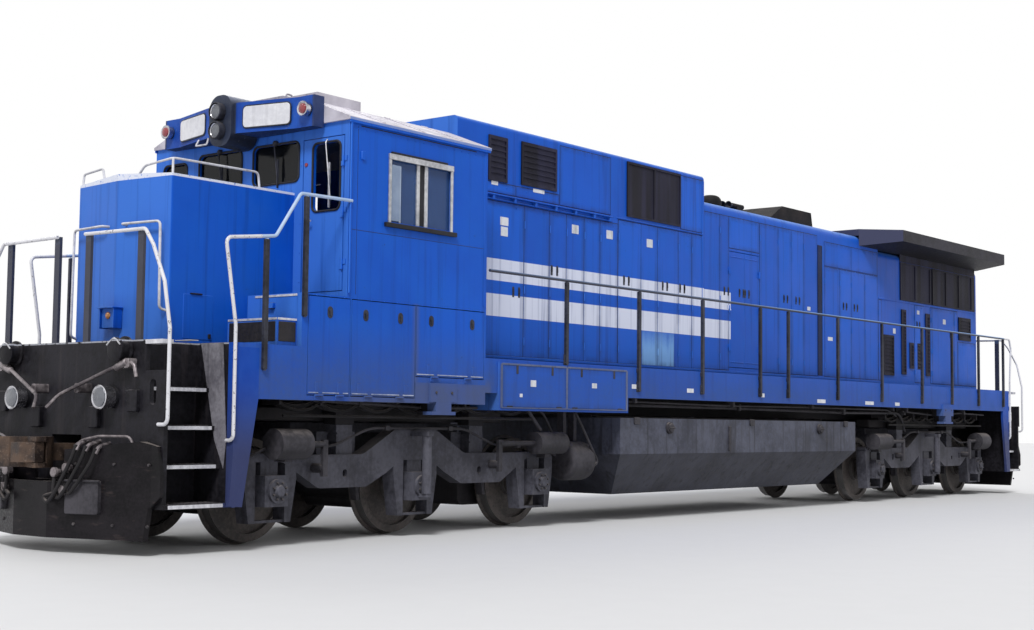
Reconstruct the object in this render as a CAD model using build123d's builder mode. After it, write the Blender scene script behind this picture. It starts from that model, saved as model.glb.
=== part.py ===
"""Six-axle road-switcher diesel locomotive with a low nose and a standard cab.

+X points forward, +Y to the left side, +Z up. The origin is midway between the trucks, at the
lowest point of the wheel flanges. Heights are counted from the top of the rail and lifted by RAIL.
All sizes are in millimetres.
"""
import math
import os
from build123d import *

os.makedirs("parts", exist_ok=True)

# Driving dimensions of the whole locomotive
FLANGE_HEIGHT = 29
RAIL = FLANGE_HEIGHT
COUPLER_FACE = 10770
PLATFORM_END = 10190
HALF_WIDTH = 1520
TRUCK_X = 6604
AXLE_GAP = 2070
WHEEL_RADIUS = 508
COUPLER_HEIGHT = RAIL + 876
ENDS = (("front", 1), ("rear", -1))
SIDES = (("left", 1), ("right", -1))

# Running gaps
DOOR_GAP = 9
SEAT = 0.3
SWIVEL_GAP = 6

# Cab and the lockers below its floor
CAB_REAR = 5895
CAB_FRONT = 8047
CAB_FLOOR = RAIL + 2420
CAB_EAVE = RAIL + 4200
CROWN_HALF = 912
CAB_WALL = 60
ROOF_THICK = 70
ROOF_OVERHANG = 30
PORCH_FRONT = 8650
PORCH_STEP = 250
PORCH_STEP_TOP = RAIL + 2170
LOCKER_DEPTH = 400
LOCKER_INNER = HALF_WIDTH - LOCKER_DEPTH
LOCKER_BOTTOM = RAIL + 1385
RAISED_BOTTOM = RAIL + 1600
RAISED_FRONT = 7032

# Underframe
DECK = RAIL + 1900
DECK_PLATE = 40
SILL_BOTTOM = RAIL + 1517
SILL_THICK = 90
CENTRE_SILL_HALF = 480
CENTRE_SILL_BOTTOM = RAIL + 1310
BOLSTER_BOTTOM = RAIL + 1262
BOLSTER_HALF_LENGTH = 420
CENTRE_PIN_RADIUS = 180
CENTRE_PIN_LENGTH = 60
CENTRE_PLATE_LIP = 220
DRAFT_POCKET_BACK = 9330
POCKET_HALF_WIDTH = 230
POCKET_HALF_HEIGHT = 160
POCKET_WALL = 60

# Jack pads: a plate on the sill, a neck below it and a foot for the jack
JACK_DEPTH = 190
JACK_PROUD = 25
JACK_FOOT_BOTTOM = RAIL + 1265
JACK_PAD = (
    # half length, low z, high z
    (210, RAIL + 1400, RAISED_BOTTOM - SEAT),
    (120, RAIL + 1300, RAIL + 1400),
    (190, JACK_FOOT_BOTTOM, RAIL + 1300),
)

# Ends
STEPWELL_REAR = 9430
STEP_BOTTOM = RAIL + 430
STEP_RISE = 350
TREAD_EDGES = (1450, 1340, 1270, 1180)
STEP_PLATE = 40
STEPWELL_INNER = 980
END_SHEET = 45
END_SHEET_BOTTOM = RAIL + 560
END_SHEET_HALF = 1155
SIDE_PANEL_THICK = 40
SIDE_PANEL_REAR = 9178

# Nose
NOSE_CORNER_X = 9620
NOSE_RIDGE_X = 9700
NOSE_HALF = 730
NOSE_EDGE_Z = RAIL + 3526
NOSE_RIDGE_Z = RAIL + 3567
NOSE_ROUND = 22

# Hoods
PANEL_GAP = 6
BLOWER_REAR = 600
BLOWER_HALF = 1040
BLOWER_TOP = RAIL + 4675
BLOWER_EDGE = 60
HOOD_REAR = -5000
HOOD_HALF = 1000
HOOD_TOP = RAIL + 4350
HOOD_WALL = 50
HOOD_EDGE = 130
RADIATOR_REAR = -9220

# Doors and their hinges
DOOR_THICK = 40
HINGE_RADIUS = 12
HINGE_PROUD = 14
HINGE_STRAP = 8
HINGE_STRAP_LONG = 45
HINGE_BARREL = 50


def block(x, y, z, mode=Mode.ADD):
    """A box between two corners, given as (low, high) on each axis."""
    with Locations(((x[0] + x[1]) / 2, (y[0] + y[1]) / 2, (z[0] + z[1]) / 2)):
        return Box(x[1] - x[0], y[1] - y[0], z[1] - z[0], mode=mode)


def both_sides(low, high):
    """The span low..high on the left side, then its mirror on the right side."""
    return ((low, high), (-high, -low))


def toward(end, near, far):
    """A span that runs from near to far on the side that end gives, lowest value first."""
    return sorted((end * near, end * far))


def about(middle, half):
    """A span of half to each side of middle."""
    return (middle - half, middle + half)


def drum(middle, axis, radius, length, mode=Mode.ADD):
    """A cylinder with its middle and its axis direction given."""
    with Locations(Plane(origin=middle, z_dir=axis)):
        return Cylinder(radius, length, mode=mode)


def window(plane, middle, size, corner, depth):
    """Cut an opening with rounded corners through a wall, from the plane along its normal."""
    with BuildSketch(plane) as outline:
        with Locations(middle):
            RectangleRounded(*size, corner)
    extrude(outline.sketch, amount=depth, mode=Mode.SUBTRACT)


def save(name, label):
    """Label a finished piece and write its file."""
    name.part.label = label
    export_step(name.part, f"parts/{label}.step")


def pipe(points, radius, bend):
    """A round bar along points, with every corner bent to the same radius."""
    with BuildLine() as path:
        if len(points) > 2:
            FilletPolyline(*points, radius=bend)
        else:
            Line(*points)
    with BuildSketch(Plane(origin=path.line @ 0, z_dir=path.line % 0)) as section:
        Circle(radius)
    sweep(sections=section.sketch, path=path.line)


def hinge_half(pivot, along, reach, outward, stations):
    """Barrels on a hinge line, each with a strap laid on the panel that it belongs to.

    along is the hinge line, reach points from it over the panel, outward points off the face.
    """
    for station in stations:
        middle = Vector(*pivot) + Vector(*along) * station
        drum(middle, along, HINGE_RADIUS, HINGE_BARREL)
        low = middle - Vector(*outward) * HINGE_PROUD - Vector(*along) * (HINGE_BARREL / 2)
        high = (
            middle
            - Vector(*outward) * (HINGE_PROUD - HINGE_STRAP)
            + Vector(*reach) * HINGE_STRAP_LONG
            + Vector(*along) * (HINGE_BARREL / 2)
        )
        block(sorted((low.X, high.X)), sorted((low.Y, high.Y)), sorted((low.Z, high.Z)))


def barrels(length, count, carrier):
    """Stations of the barrels along a hinge line: those of the door, or of what carries it."""
    shift = (HINGE_BARREL + SEAT) / 2 if carrier else -(HINGE_BARREL + SEAT) / 2
    step = length / count
    return [step * (i + 0.5) - length / 2 + shift for i in range(count)]


# Underframe: deck plate, side sills, centre sill, bolsters, side bearers and jack pads
SIDE_BEARER_X = 1040
SIDE_BEARER_HALF = 130
SIDE_BEARER_Y = (950, LOCKER_INNER - 5)
SPRING_TOP = RAIL + 1150
with BuildPart() as underframe:
    for x in ((-STEPWELL_REAR, CAB_REAR), (PORCH_FRONT, STEPWELL_REAR)):
        block(x, (-HALF_WIDTH, HALF_WIDTH), (DECK - DECK_PLATE, DECK))
    block((CAB_REAR, PORCH_FRONT), (-LOCKER_INNER, LOCKER_INNER), (DECK - DECK_PLATE, DECK))
    for side in both_sides(HALF_WIDTH - SILL_THICK, HALF_WIDTH):
        block((-SIDE_PANEL_REAR, CAB_REAR), side, (SILL_BOTTOM, DECK))
        block((CAB_REAR, RAISED_FRONT - PANEL_GAP), side, (LOCKER_BOTTOM, RAISED_BOTTOM - SEAT))
        block((PORCH_FRONT + SEAT, SIDE_PANEL_REAR), side, (LOCKER_BOTTOM, DECK))
    block(
        (-PLATFORM_END + END_SHEET, PLATFORM_END - END_SHEET),
        (-CENTRE_SILL_HALF, CENTRE_SILL_HALF),
        (CENTRE_SILL_BOTTOM, DECK),
    )
    block(about(TRUCK_X, BOLSTER_HALF_LENGTH), (-LOCKER_INNER, LOCKER_INNER), (SILL_BOTTOM, DECK))
    block(
        about(TRUCK_X, BOLSTER_HALF_LENGTH),
        about(0, HALF_WIDTH - SILL_THICK),
        (SILL_BOTTOM, RAISED_BOTTOM - SEAT),
    )
    block(about(-TRUCK_X, BOLSTER_HALF_LENGTH), about(0, HALF_WIDTH - SILL_THICK), (SILL_BOTTOM, DECK))
    for name, end in ENDS:
        truck_x = end * TRUCK_X
        for side in (1, -1):
            for half_length, low_z, high_z in JACK_PAD:
                across = toward(side, HALF_WIDTH - JACK_DEPTH, HALF_WIDTH + JACK_PROUD)
                block(about(truck_x, half_length), across, (low_z, high_z))
            for way in (1, -1):
                block(
                    about(truck_x + way * SIDE_BEARER_X, SIDE_BEARER_HALF),
                    toward(side, *SIDE_BEARER_Y),
                    (SPRING_TOP + SWIVEL_GAP, DECK - DECK_PLATE),
                )
        plate_middle = (truck_x, 0, (BOLSTER_BOTTOM + CENTRE_SILL_BOTTOM) / 2)
        drum(plate_middle, (0, 0, 1), CENTRE_PIN_RADIUS + CENTRE_PLATE_LIP,
             CENTRE_SILL_BOTTOM - BOLSTER_BOTTOM)
        pin_middle = (truck_x, 0, BOLSTER_BOTTOM - CENTRE_PIN_LENGTH / 2)
        drum(pin_middle, (0, 0, 1), CENTRE_PIN_RADIUS, CENTRE_PIN_LENGTH)
save(underframe, "underframe")

# Draft pockets: a box under each end of the centre sill, open at its mouth, for the coupler
with BuildPart() as draft_pockets:
    for name, end in ENDS:
        block(
            toward(end, DRAFT_POCKET_BACK, PLATFORM_END - END_SHEET),
            about(0, POCKET_HALF_WIDTH + POCKET_WALL),
            (COUPLER_HEIGHT - POCKET_HALF_HEIGHT - POCKET_WALL, CENTRE_SILL_BOTTOM),
        )
        block(
            toward(end, DRAFT_POCKET_BACK + POCKET_WALL, PLATFORM_END),
            about(0, POCKET_HALF_WIDTH),
            about(COUPLER_HEIGHT, POCKET_HALF_HEIGHT),
            mode=Mode.SUBTRACT,
        )
save(draft_pockets, "draft_pockets")


# Front and rear platforms: end sheet, stepwells with open treads and a side panel beside them
FRONT_PLATE_HALF = 1430
LUG_Y = (END_SHEET_HALF, 1450)
LUG_Z = (RAIL + 1235, RAIL + 1622)
LUG_SLOT_Y = 1265
LUG_SLOT = (90, 230)
WALL_FRONT = STEPWELL_REAR + STEP_PLATE
SIDE_PANEL = (
    # x, z of each corner of the panel
    (WALL_FRONT, DECK),
    (WALL_FRONT, RAIL + 880),
    (WALL_FRONT + 35, RAIL + 400),
    (9348, RAIL + 390),
    (SIDE_PANEL_REAR, RAIL + 1390),
    (SIDE_PANEL_REAR, DECK - DECK_PLATE),
    (STEPWELL_REAR, DECK - DECK_PLATE),
    (STEPWELL_REAR, DECK),
)
for name, end in ENDS:
    with BuildPart() as platform:
        well_x = toward(end, STEPWELL_REAR, PLATFORM_END)
        sheet_x = toward(end, PLATFORM_END - END_SHEET, PLATFORM_END)
        block(sheet_x, about(0, END_SHEET_HALF), (END_SHEET_BOTTOM, DECK))
        block(sheet_x, about(0, POCKET_HALF_WIDTH), about(COUPLER_HEIGHT, POCKET_HALF_HEIGHT),
              mode=Mode.SUBTRACT)
        for side in (1, -1):
            block(well_x, toward(side, CENTRE_SILL_HALF, STEPWELL_INNER), (DECK - DECK_PLATE, DECK))
            inner = toward(side, STEPWELL_INNER - STEP_PLATE, STEPWELL_INNER)
            block(well_x, inner, (STEP_BOTTOM - STEP_PLATE, DECK))
            wall_x = toward(end, STEPWELL_REAR, WALL_FRONT)
            block(wall_x, toward(side, STEPWELL_INNER, HALF_WIDTH), (STEP_BOTTOM - STEP_PLATE, DECK))
            front_plate = toward(side, STEPWELL_INNER - STEP_PLATE, FRONT_PLATE_HALF)
            block(sheet_x, front_plate, (STEP_BOTTOM - STEP_PLATE, LUG_Z[0]))
            block(sheet_x, toward(side, *LUG_Y), LUG_Z)
            face = Plane(origin=(end * PLATFORM_END, 0, 0), x_dir=(0, end, 0), z_dir=(end, 0, 0))
            slot_middle = (end * side * LUG_SLOT_Y, (LUG_Z[0] + LUG_Z[1]) / 2)
            window(face, slot_middle, LUG_SLOT, LUG_SLOT[0] / 2 - 1, -END_SHEET)
            for step, edge in enumerate(TREAD_EDGES):
                top = STEP_BOTTOM + step * STEP_RISE
                block(well_x, toward(side, STEPWELL_INNER, edge), (top - STEP_PLATE, top))
            panel = toward(side, HALF_WIDTH - SIDE_PANEL_THICK, HALF_WIDTH)
            with BuildSketch(Plane.XZ.offset(-panel[1])):
                with BuildLine():
                    Polyline(*[(end * x, z) for x, z in SIDE_PANEL], close=True)
                make_face()
            extrude(amount=panel[1] - panel[0])
    save(platform, f"{name}_platform")


# Plows: a V of plate below each end sheet, higher at its outer corners, cut away for the coupler
PLOW_BOTTOM = RAIL + 110
PLOW_HALF = 1450
PLOW_POINT = 10560
PLOW_PLATE = 40
PLOW_MIDDLE = 260
PLOW_FOOT = 120
PLOW_NOTCH_HALF = 430
PLOW_NOTCH_UNDER = 100
PLOW_OUTLINE = (
    # y, z of the outline seen from the front, from the middle of the top round to the bottom
    (0, RAIL + 860),
    (900, RAIL + 955),
    (1200, RAIL + 985),
    (PLOW_HALF - 50, RAIL + 945),
    (PLOW_HALF, RAIL + 700),
    (PLOW_HALF, RAIL + 500),
    (PLOW_HALF - 150, RAIL + 395),
    (PLOW_HALF - 200, PLOW_BOTTOM),
    (0, PLOW_BOTTOM),
)
PLOW_PLAN = (
    # x forward of the end sheet, half width of the outer face there
    (SEAT, PLOW_HALF),
    (PLOW_POINT - PLATFORM_END, PLOW_MIDDLE),
)
PLOW_TOP = max(z for y, z in PLOW_OUTLINE)
for name, end in ENDS:
    with BuildPart() as plow:
        foot = end * (PLATFORM_END + SEAT)
        inner_point = end * (PLOW_POINT - PLOW_PLATE)
        with BuildSketch(Plane.XY.offset(PLOW_BOTTOM)):
            with BuildLine():
                Polyline(
                    (foot, -PLOW_HALF),
                    (end * PLOW_POINT, -PLOW_MIDDLE),
                    (end * PLOW_POINT, PLOW_MIDDLE),
                    (foot, PLOW_HALF),
                    (foot, PLOW_HALF - PLOW_FOOT),
                    (inner_point, PLOW_MIDDLE - PLOW_PLATE),
                    (inner_point, PLOW_PLATE - PLOW_MIDDLE),
                    (foot, PLOW_FOOT - PLOW_HALF),
                    close=True,
                )
            make_face()
        extrude(amount=PLOW_TOP - PLOW_BOTTOM)
        block(toward(end, PLATFORM_END + SEAT, PLATFORM_END + PLOW_PLATE), about(0, PLOW_HALF),
              (PLOW_BOTTOM, PLOW_TOP))
        with BuildSketch(Plane.YZ.offset(toward(end, PLATFORM_END, PLOW_POINT)[0])):
            with BuildLine():
                right = [(-y, z) for y, z in reversed(PLOW_OUTLINE[1:-1])]
                Polyline(*PLOW_OUTLINE, *right, close=True)
            make_face()
        extrude(amount=PLOW_POINT - PLATFORM_END, mode=Mode.INTERSECT)
        block(
            toward(end, PLATFORM_END, PLOW_POINT),
            about(0, PLOW_NOTCH_HALF),
            (COUPLER_HEIGHT - POCKET_HALF_HEIGHT - PLOW_NOTCH_UNDER, PLOW_TOP),
            mode=Mode.SUBTRACT,
        )
    save(plow, f"{name}_plow")


# Couplers: a shank pivoted in the draft pocket, a head with a guard arm, and a hinged knuckle
COUPLER_PIVOT = 9900
SHANK_HALF_WIDTH = 75
SHANK_HALF_HEIGHT = 80
SHANK_END = 10400
SHANK_BOSS = 110
HEAD_HALF_HEIGHT = 140
HEAD_ROUND = 18
KNUCKLE_PIN_X = 10610
KNUCKLE_PIN_Y = 150
KNUCKLE_PIN_RADIUS = 22
KNUCKLE_HALF_HEIGHT = 90
KNUCKLE_GAP = 6
HEAD_OUTLINE = (
    # x, y of each corner of the head seen from above, from the shank round the guard arm
    (10380, SHANK_HALF_WIDTH),
    (10450, 150),
    (10560, 215),
    (10660, 215),
    (10660, 90),
    (10590, 60),
    (10570, -90),
    (10700, -150),
    (10760, -250),
    (10700, -290),
    (10560, -170),
    (10450, -120),
    (10380, -SHANK_HALF_WIDTH),
)
KNUCKLE_ROOM = ((10530, 10700), (62, 240))
KNUCKLE_OUTLINE = (
    # x, y of each corner of the knuckle seen from above
    (10560, 110),
    (10560, 190),
    (10660, 200),
    (COUPLER_FACE, 130),
    (COUPLER_FACE, -20),
    (10700, -40),
    (10690, 80),
    (10620, 100),
)
for name, end in ENDS:
    with BuildPart() as coupler:
        with BuildSketch(Plane.XY.offset(COUPLER_HEIGHT - HEAD_HALF_HEIGHT)):
            with BuildLine():
                Polyline(*[(end * x, end * y) for x, y in HEAD_OUTLINE], close=True)
            make_face()
        extrude(amount=2 * HEAD_HALF_HEIGHT)
        fillet(coupler.edges().filter_by(Axis.Z).sort_by(Axis.X)[:: end][-3:], HEAD_ROUND)
        block(
            toward(end, COUPLER_PIVOT, SHANK_END),
            about(0, SHANK_HALF_WIDTH),
            about(COUPLER_HEIGHT, SHANK_HALF_HEIGHT),
        )
        drum((end * COUPLER_PIVOT, 0, COUPLER_HEIGHT), (0, 0, 1), SHANK_BOSS,
             2 * POCKET_HALF_HEIGHT - 2 * SEAT)
        block(
            toward(end, *KNUCKLE_ROOM[0]),
            toward(end, *KNUCKLE_ROOM[1]),
            about(COUPLER_HEIGHT, KNUCKLE_HALF_HEIGHT + KNUCKLE_GAP),
            mode=Mode.SUBTRACT,
        )
        pin_middle = (end * KNUCKLE_PIN_X, end * KNUCKLE_PIN_Y, COUPLER_HEIGHT)
        drum(pin_middle, (0, 0, 1), KNUCKLE_PIN_RADIUS, 2 * HEAD_HALF_HEIGHT)
    save(coupler, f"{name}_coupler")

    with BuildPart() as knuckle:
        with BuildSketch(Plane.XY.offset(COUPLER_HEIGHT - KNUCKLE_HALF_HEIGHT)):
            with BuildLine():
                Polyline(*[(end * x, end * y) for x, y in KNUCKLE_OUTLINE], close=True)
            make_face()
        extrude(amount=2 * KNUCKLE_HALF_HEIGHT)
        fillet(knuckle.edges().filter_by(Axis.Z).sort_by(Axis.X)[:: end][-2:], HEAD_ROUND)
        drum(pin_middle, (0, 0, 1), KNUCKLE_PIN_RADIUS + 0.1, 4 * KNUCKLE_HALF_HEIGHT,
             mode=Mode.SUBTRACT)
    save(knuckle, f"{name}_knuckle")


# Fuel tank: a long box hung from the sills, with its lower side faces and ends slanted inwards
TANK_FRONT = 3170
TANK_REAR = -3260
TANK_TOP = RAIL + 1270
TANK_KNEE = RAIL + 820
TANK_BOTTOM = RAIL + 300
TANK_HALF = 1430
TANK_BOTTOM_HALF = 1000
TANK_END_SLANT = 420
HANGER_HALF = 480
HANGER_LENGTH_HALF = 60
HANGER_X = (TANK_REAR + 800, 0, TANK_FRONT - 800)
TANK_MIDDLE = (TANK_REAR + TANK_FRONT) / 2
with BuildPart() as fuel_tank:
    block((TANK_REAR, TANK_FRONT), (-TANK_HALF, TANK_HALF), (TANK_KNEE, TANK_TOP))
    with BuildSketch(Plane.XY.offset(TANK_KNEE)):
        with Locations((TANK_MIDDLE, 0)):
            Rectangle(TANK_FRONT - TANK_REAR, 2 * TANK_HALF)
    with BuildSketch(Plane.XY.offset(TANK_BOTTOM)):
        with Locations((TANK_MIDDLE, 0)):
            Rectangle(TANK_FRONT - TANK_REAR - 2 * TANK_END_SLANT, 2 * TANK_BOTTOM_HALF)
    loft()
    for x in HANGER_X:
        block(about(x, HANGER_LENGTH_HALF), about(0, HANGER_HALF), (TANK_TOP, CENTRE_SILL_BOTTOM - SEAT))
save(fuel_tank, "fuel_tank")

# Air reservoirs: one drum a side with domed ends, strapped under the deck ahead of the tank
RESERVOIR_RADIUS = 235
RESERVOIR_X = (3560, 4010)
RESERVOIR_Y = HALF_WIDTH - 390
RESERVOIR_Z = RAIL + 740
RESERVOIR_DOME = 60
STRAP_INSET = 120
STRAP_HALF = 30
STRAP_Y = (RESERVOIR_Y - 110, RESERVOIR_Y - 20)
with BuildPart() as air_reservoirs:
    for side in (1, -1):
        middle = ((RESERVOIR_X[0] + RESERVOIR_X[1]) / 2, side * RESERVOIR_Y, RESERVOIR_Z)
        drum(middle, (1, 0, 0), RESERVOIR_RADIUS, RESERVOIR_X[1] - RESERVOIR_X[0])
    fillet(air_reservoirs.edges().filter_by(GeomType.CIRCLE), RESERVOIR_DOME)
    for side in (1, -1):
        for x in (RESERVOIR_X[0] + STRAP_INSET, RESERVOIR_X[1] - STRAP_INSET):
            block(about(x, STRAP_HALF), toward(side, *STRAP_Y), (RESERVOIR_Z, DECK - DECK_PLATE - SEAT))
save(air_reservoirs, "air_reservoirs")


# Nose: closed, with a shallow V front, a slightly crowned top and rounded outer edges
with BuildPart() as nose:
    with BuildSketch(Plane.XY.offset(DECK + SEAT)):
        with BuildLine():
            Polyline(
                (CAB_FRONT + SEAT, -NOSE_HALF),
                (NOSE_CORNER_X, -NOSE_HALF),
                (NOSE_RIDGE_X, 0),
                (NOSE_CORNER_X, NOSE_HALF),
                (CAB_FRONT + SEAT, NOSE_HALF),
                close=True,
            )
        make_face()
    extrude(amount=NOSE_RIDGE_Z - DECK - SEAT)
    for side in (1, -1):
        with BuildSketch(Plane.YZ.offset(CAB_FRONT)):
            with BuildLine():
                Polyline(
                    (0, NOSE_RIDGE_Z),
                    (side * NOSE_HALF, NOSE_EDGE_Z),
                    (side * HALF_WIDTH, NOSE_EDGE_Z),
                    (side * HALF_WIDTH, CAB_FLOOR + NOSE_RIDGE_Z),
                    (0, CAB_FLOOR + NOSE_RIDGE_Z),
                    close=True,
                )
            make_face()
        extrude(amount=COUPLER_FACE - CAB_FRONT, mode=Mode.SUBTRACT)
    corners = [
        edge
        for edge in nose.edges()
        if abs(edge.center().X - NOSE_CORNER_X) < 1 and edge.length > NOSE_HALF
    ]
    fillet(corners, NOSE_ROUND)
save(nose, "nose")


# Cab base: equipment lockers under the cab floor and the porch, with steps before both cab doors
PORCH_INNER = NOSE_HALF + PANEL_GAP
PORCH_SIDE = 1450
REAR_STEP_DEPTH = 500
STEP_MARGIN = 10
LOCKER_LAP = 10
BOX_DOOR_TOP = CAB_FLOOR - 25
BOX_DOORS = (
    # name, low x, high x, low z
    ("box_door_a", 8000, 8560, RAIL + 1440),
    ("box_door_b", 7045, 7970, RAIL + 1440),
    ("box_door_c", 5930, 7020, RAIL + 1664),
)
BOX_HINGES = 2
BOX_DEPTH = 360
HINGE_RECESS = 10
FRONT_DOOR_Y = (HALF_WIDTH - 670, HALF_WIDTH - 70)
REAR_DOOR_Y = (80 - HALF_WIDTH, 450 - HALF_WIDTH)
with BuildPart() as cab_base:
    block((CAB_REAR + SEAT, CAB_FRONT), about(0, LOCKER_INNER + LOCKER_LAP), (DECK + SEAT, CAB_FLOOR - SEAT))
    for side in (1, -1):
        block((CAB_FRONT, PORCH_FRONT), toward(side, PORCH_INNER, LOCKER_INNER + LOCKER_LAP),
              (DECK + SEAT, CAB_FLOOR - SEAT))
        outer = toward(side, LOCKER_INNER + SEAT, HALF_WIDTH)
        block((CAB_REAR + SEAT, RAISED_FRONT), outer, (RAISED_BOTTOM, CAB_FLOOR - SEAT))
        block((RAISED_FRONT, PORCH_FRONT), outer, (LOCKER_BOTTOM, CAB_FLOOR - SEAT))
        block((PORCH_FRONT, PORCH_FRONT + PORCH_STEP), toward(side, PORCH_INNER, PORCH_SIDE),
              (DECK + SEAT, PORCH_STEP_TOP))
        for label, low, high, bottom in BOX_DOORS:
            depth = toward(side, HALF_WIDTH - BOX_DEPTH, HALF_WIDTH + HINGE_RECESS)
            block((low - DOOR_GAP, high + DOOR_GAP), depth, (bottom - DOOR_GAP, BOX_DOOR_TOP + DOOR_GAP),
                  mode=Mode.SUBTRACT)
            pivot = ((low + high) / 2, side * (HALF_WIDTH + HINGE_PROUD), bottom - DOOR_GAP / 2)
            hinge_half(pivot, (1, 0, 0), (0, 0, -1), (0, side, 0), barrels(high - low, BOX_HINGES, True))
    block((CAB_REAR - REAR_STEP_DEPTH, CAB_REAR + LOCKER_LAP),
          (REAR_DOOR_Y[0] - STEP_MARGIN, REAR_DOOR_Y[1] + STEP_MARGIN), (DECK + SEAT, PORCH_STEP_TOP))
save(cab_base, "cab_base")

for side_name, side in SIDES:
    for label, low, high, bottom in BOX_DOORS:
        with BuildPart() as box_door:
            block((low, high), toward(side, HALF_WIDTH - DOOR_THICK, HALF_WIDTH), (bottom, BOX_DOOR_TOP))
            pivot = ((low + high) / 2, side * (HALF_WIDTH + HINGE_PROUD), bottom - DOOR_GAP / 2)
            hinge_half(pivot, (1, 0, 0), (0, 0, 1), (0, side, 0), barrels(high - low, BOX_HINGES, False))
        save(box_door, f"{label}_{side_name}")


# Cab shell: hollow, one wall thick, with windows and the two doorways cut
SIDE_WINDOW_X = (6505, 7466)
SIDE_WINDOW_Z = (RAIL + 3235, RAIL + 3900)
DOOR_TOP = RAIL + 4060
DOOR_SILL = CAB_FLOOR + CAB_WALL
DOOR_HEIGHT = DOOR_TOP - DOOR_SILL - 2 * DOOR_GAP
DOOR_MIDDLE = (DOOR_TOP + DOOR_SILL) / 2
FRONT_DOOR_PIVOT = (CAB_FRONT + HINGE_PROUD, FRONT_DOOR_Y[1] - DOOR_GAP / 2, DOOR_MIDDLE)
REAR_DOOR_PIVOT = (CAB_REAR - HINGE_PROUD, REAR_DOOR_Y[0] + DOOR_GAP / 2, DOOR_MIDDLE)
CAB_HINGES = 3
WINDSHIELD_Y = (95, 785)
WINDSHIELD_Z = (RAIL + 3650, RAIL + 4055)
FRONT_PANE_Y = (FRONT_DOOR_Y[0] + 150, FRONT_DOOR_Y[1] - 60)
FRONT_PANE_Z = (RAIL + 3310, RAIL + 4000)
REAR_PANE_Y = (REAR_DOOR_Y[0] + 70, REAR_DOOR_Y[1] - 70)
REAR_PANE_Z = (RAIL + 3300, RAIL + 3960)
PANE_ROUND = 60
FRONT_FACE = Plane(origin=(CAB_FRONT, 0, 0), x_dir=(0, 1, 0), z_dir=(1, 0, 0))
REAR_FACE = Plane(origin=(CAB_REAR, 0, 0), x_dir=(0, 1, 0), z_dir=(1, 0, 0))


def pane(y, z):
    """Middle and size of an opening in an end wall, from its spans."""
    return ((y[0] + y[1]) / 2, (z[0] + z[1]) / 2), (y[1] - y[0], z[1] - z[0])


FRONT_PANES = (
    # y span, z span, rounding
    (both_sides(*WINDSHIELD_Y)[0], WINDSHIELD_Z, PANE_ROUND),
    (both_sides(*WINDSHIELD_Y)[1], WINDSHIELD_Z, PANE_ROUND),
    (both_sides(*FRONT_PANE_Y)[1], FRONT_PANE_Z, PANE_ROUND),
)
with BuildPart() as cab_shell:
    block((CAB_REAR, CAB_FRONT), (-HALF_WIDTH, HALF_WIDTH), (CAB_FLOOR, CAB_EAVE))
    block(
        (CAB_REAR + CAB_WALL, CAB_FRONT - CAB_WALL),
        (-HALF_WIDTH + CAB_WALL, HALF_WIDTH - CAB_WALL),
        (DOOR_SILL, CAB_EAVE),
        mode=Mode.SUBTRACT,
    )
    block(SIDE_WINDOW_X, (-HALF_WIDTH, HALF_WIDTH), SIDE_WINDOW_Z, mode=Mode.SUBTRACT)
    for y, z, corner in FRONT_PANES:
        window(FRONT_FACE, *pane(y, z), corner, -CAB_WALL)
    window(REAR_FACE, *pane(both_sides(*REAR_PANE_Y)[1], REAR_PANE_Z), PANE_ROUND, CAB_WALL)
    block((CAB_FRONT - CAB_WALL, CAB_FRONT), FRONT_DOOR_Y, (DOOR_SILL, DOOR_TOP), mode=Mode.SUBTRACT)
    block((CAB_REAR, CAB_REAR + CAB_WALL), REAR_DOOR_Y, (DOOR_SILL, DOOR_TOP), mode=Mode.SUBTRACT)
    stations = barrels(DOOR_HEIGHT, CAB_HINGES, True)
    hinge_half(FRONT_DOOR_PIVOT, (0, 0, 1), (0, 1, 0), (1, 0, 0), stations)
    hinge_half(REAR_DOOR_PIVOT, (0, 0, 1), (0, -1, 0), (-1, 0, 0), stations)
save(cab_shell, "cab_shell")

# Cab roof: a shell with a steep and a shallow slope a side, a flat crown and a ventilation hatch
ROOF_EDGE = 30
ROOF_KNEE = (CROWN_HALF, RAIL + 4478)
ROOF_FLAT_HALF = 550
ROOF_TOP = RAIL + 4560
HATCH_X = (7180, 7820)
HATCH_HALF = 800
HATCH_TOP = ROOF_TOP + 55
ROOF_OUTER = (
    # y, z of the outer face of the roof's left half, from the eave to the middle
    (HALF_WIDTH + ROOF_OVERHANG, CAB_EAVE + SEAT),
    (HALF_WIDTH + ROOF_OVERHANG, CAB_EAVE + ROOF_EDGE),
    ROOF_KNEE,
    (ROOF_FLAT_HALF, ROOF_TOP),
)
ROOF_INNER = (
    # y, z of its inner face
    (HALF_WIDTH - CAB_WALL, CAB_EAVE + SEAT),
    (ROOF_KNEE[0] - ROOF_THICK / 2, ROOF_KNEE[1] - ROOF_THICK),
    (ROOF_FLAT_HALF, ROOF_TOP - ROOF_THICK),
)
with BuildPart() as cab_roof:
    with BuildSketch(Plane.YZ.offset(CAB_REAR - ROOF_OVERHANG)):
        with BuildLine():
            Polyline(*ROOF_OUTER, *[(-y, z) for y, z in reversed(ROOF_OUTER)], close=True)
        make_face()
    extrude(amount=CAB_FRONT - CAB_REAR + 2 * ROOF_OVERHANG)
    with BuildSketch(Plane.YZ.offset(CAB_REAR + CAB_WALL)):
        with BuildLine():
            Polyline(*ROOF_INNER, *[(-y, z) for y, z in reversed(ROOF_INNER)], close=True)
        make_face()
    extrude(amount=CAB_FRONT - CAB_REAR - 2 * CAB_WALL, mode=Mode.SUBTRACT)
    block(HATCH_X, about(0, HATCH_HALF), (ROOF_TOP - ROOF_THICK, HATCH_TOP))
save(cab_roof, "cab_roof")

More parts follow.
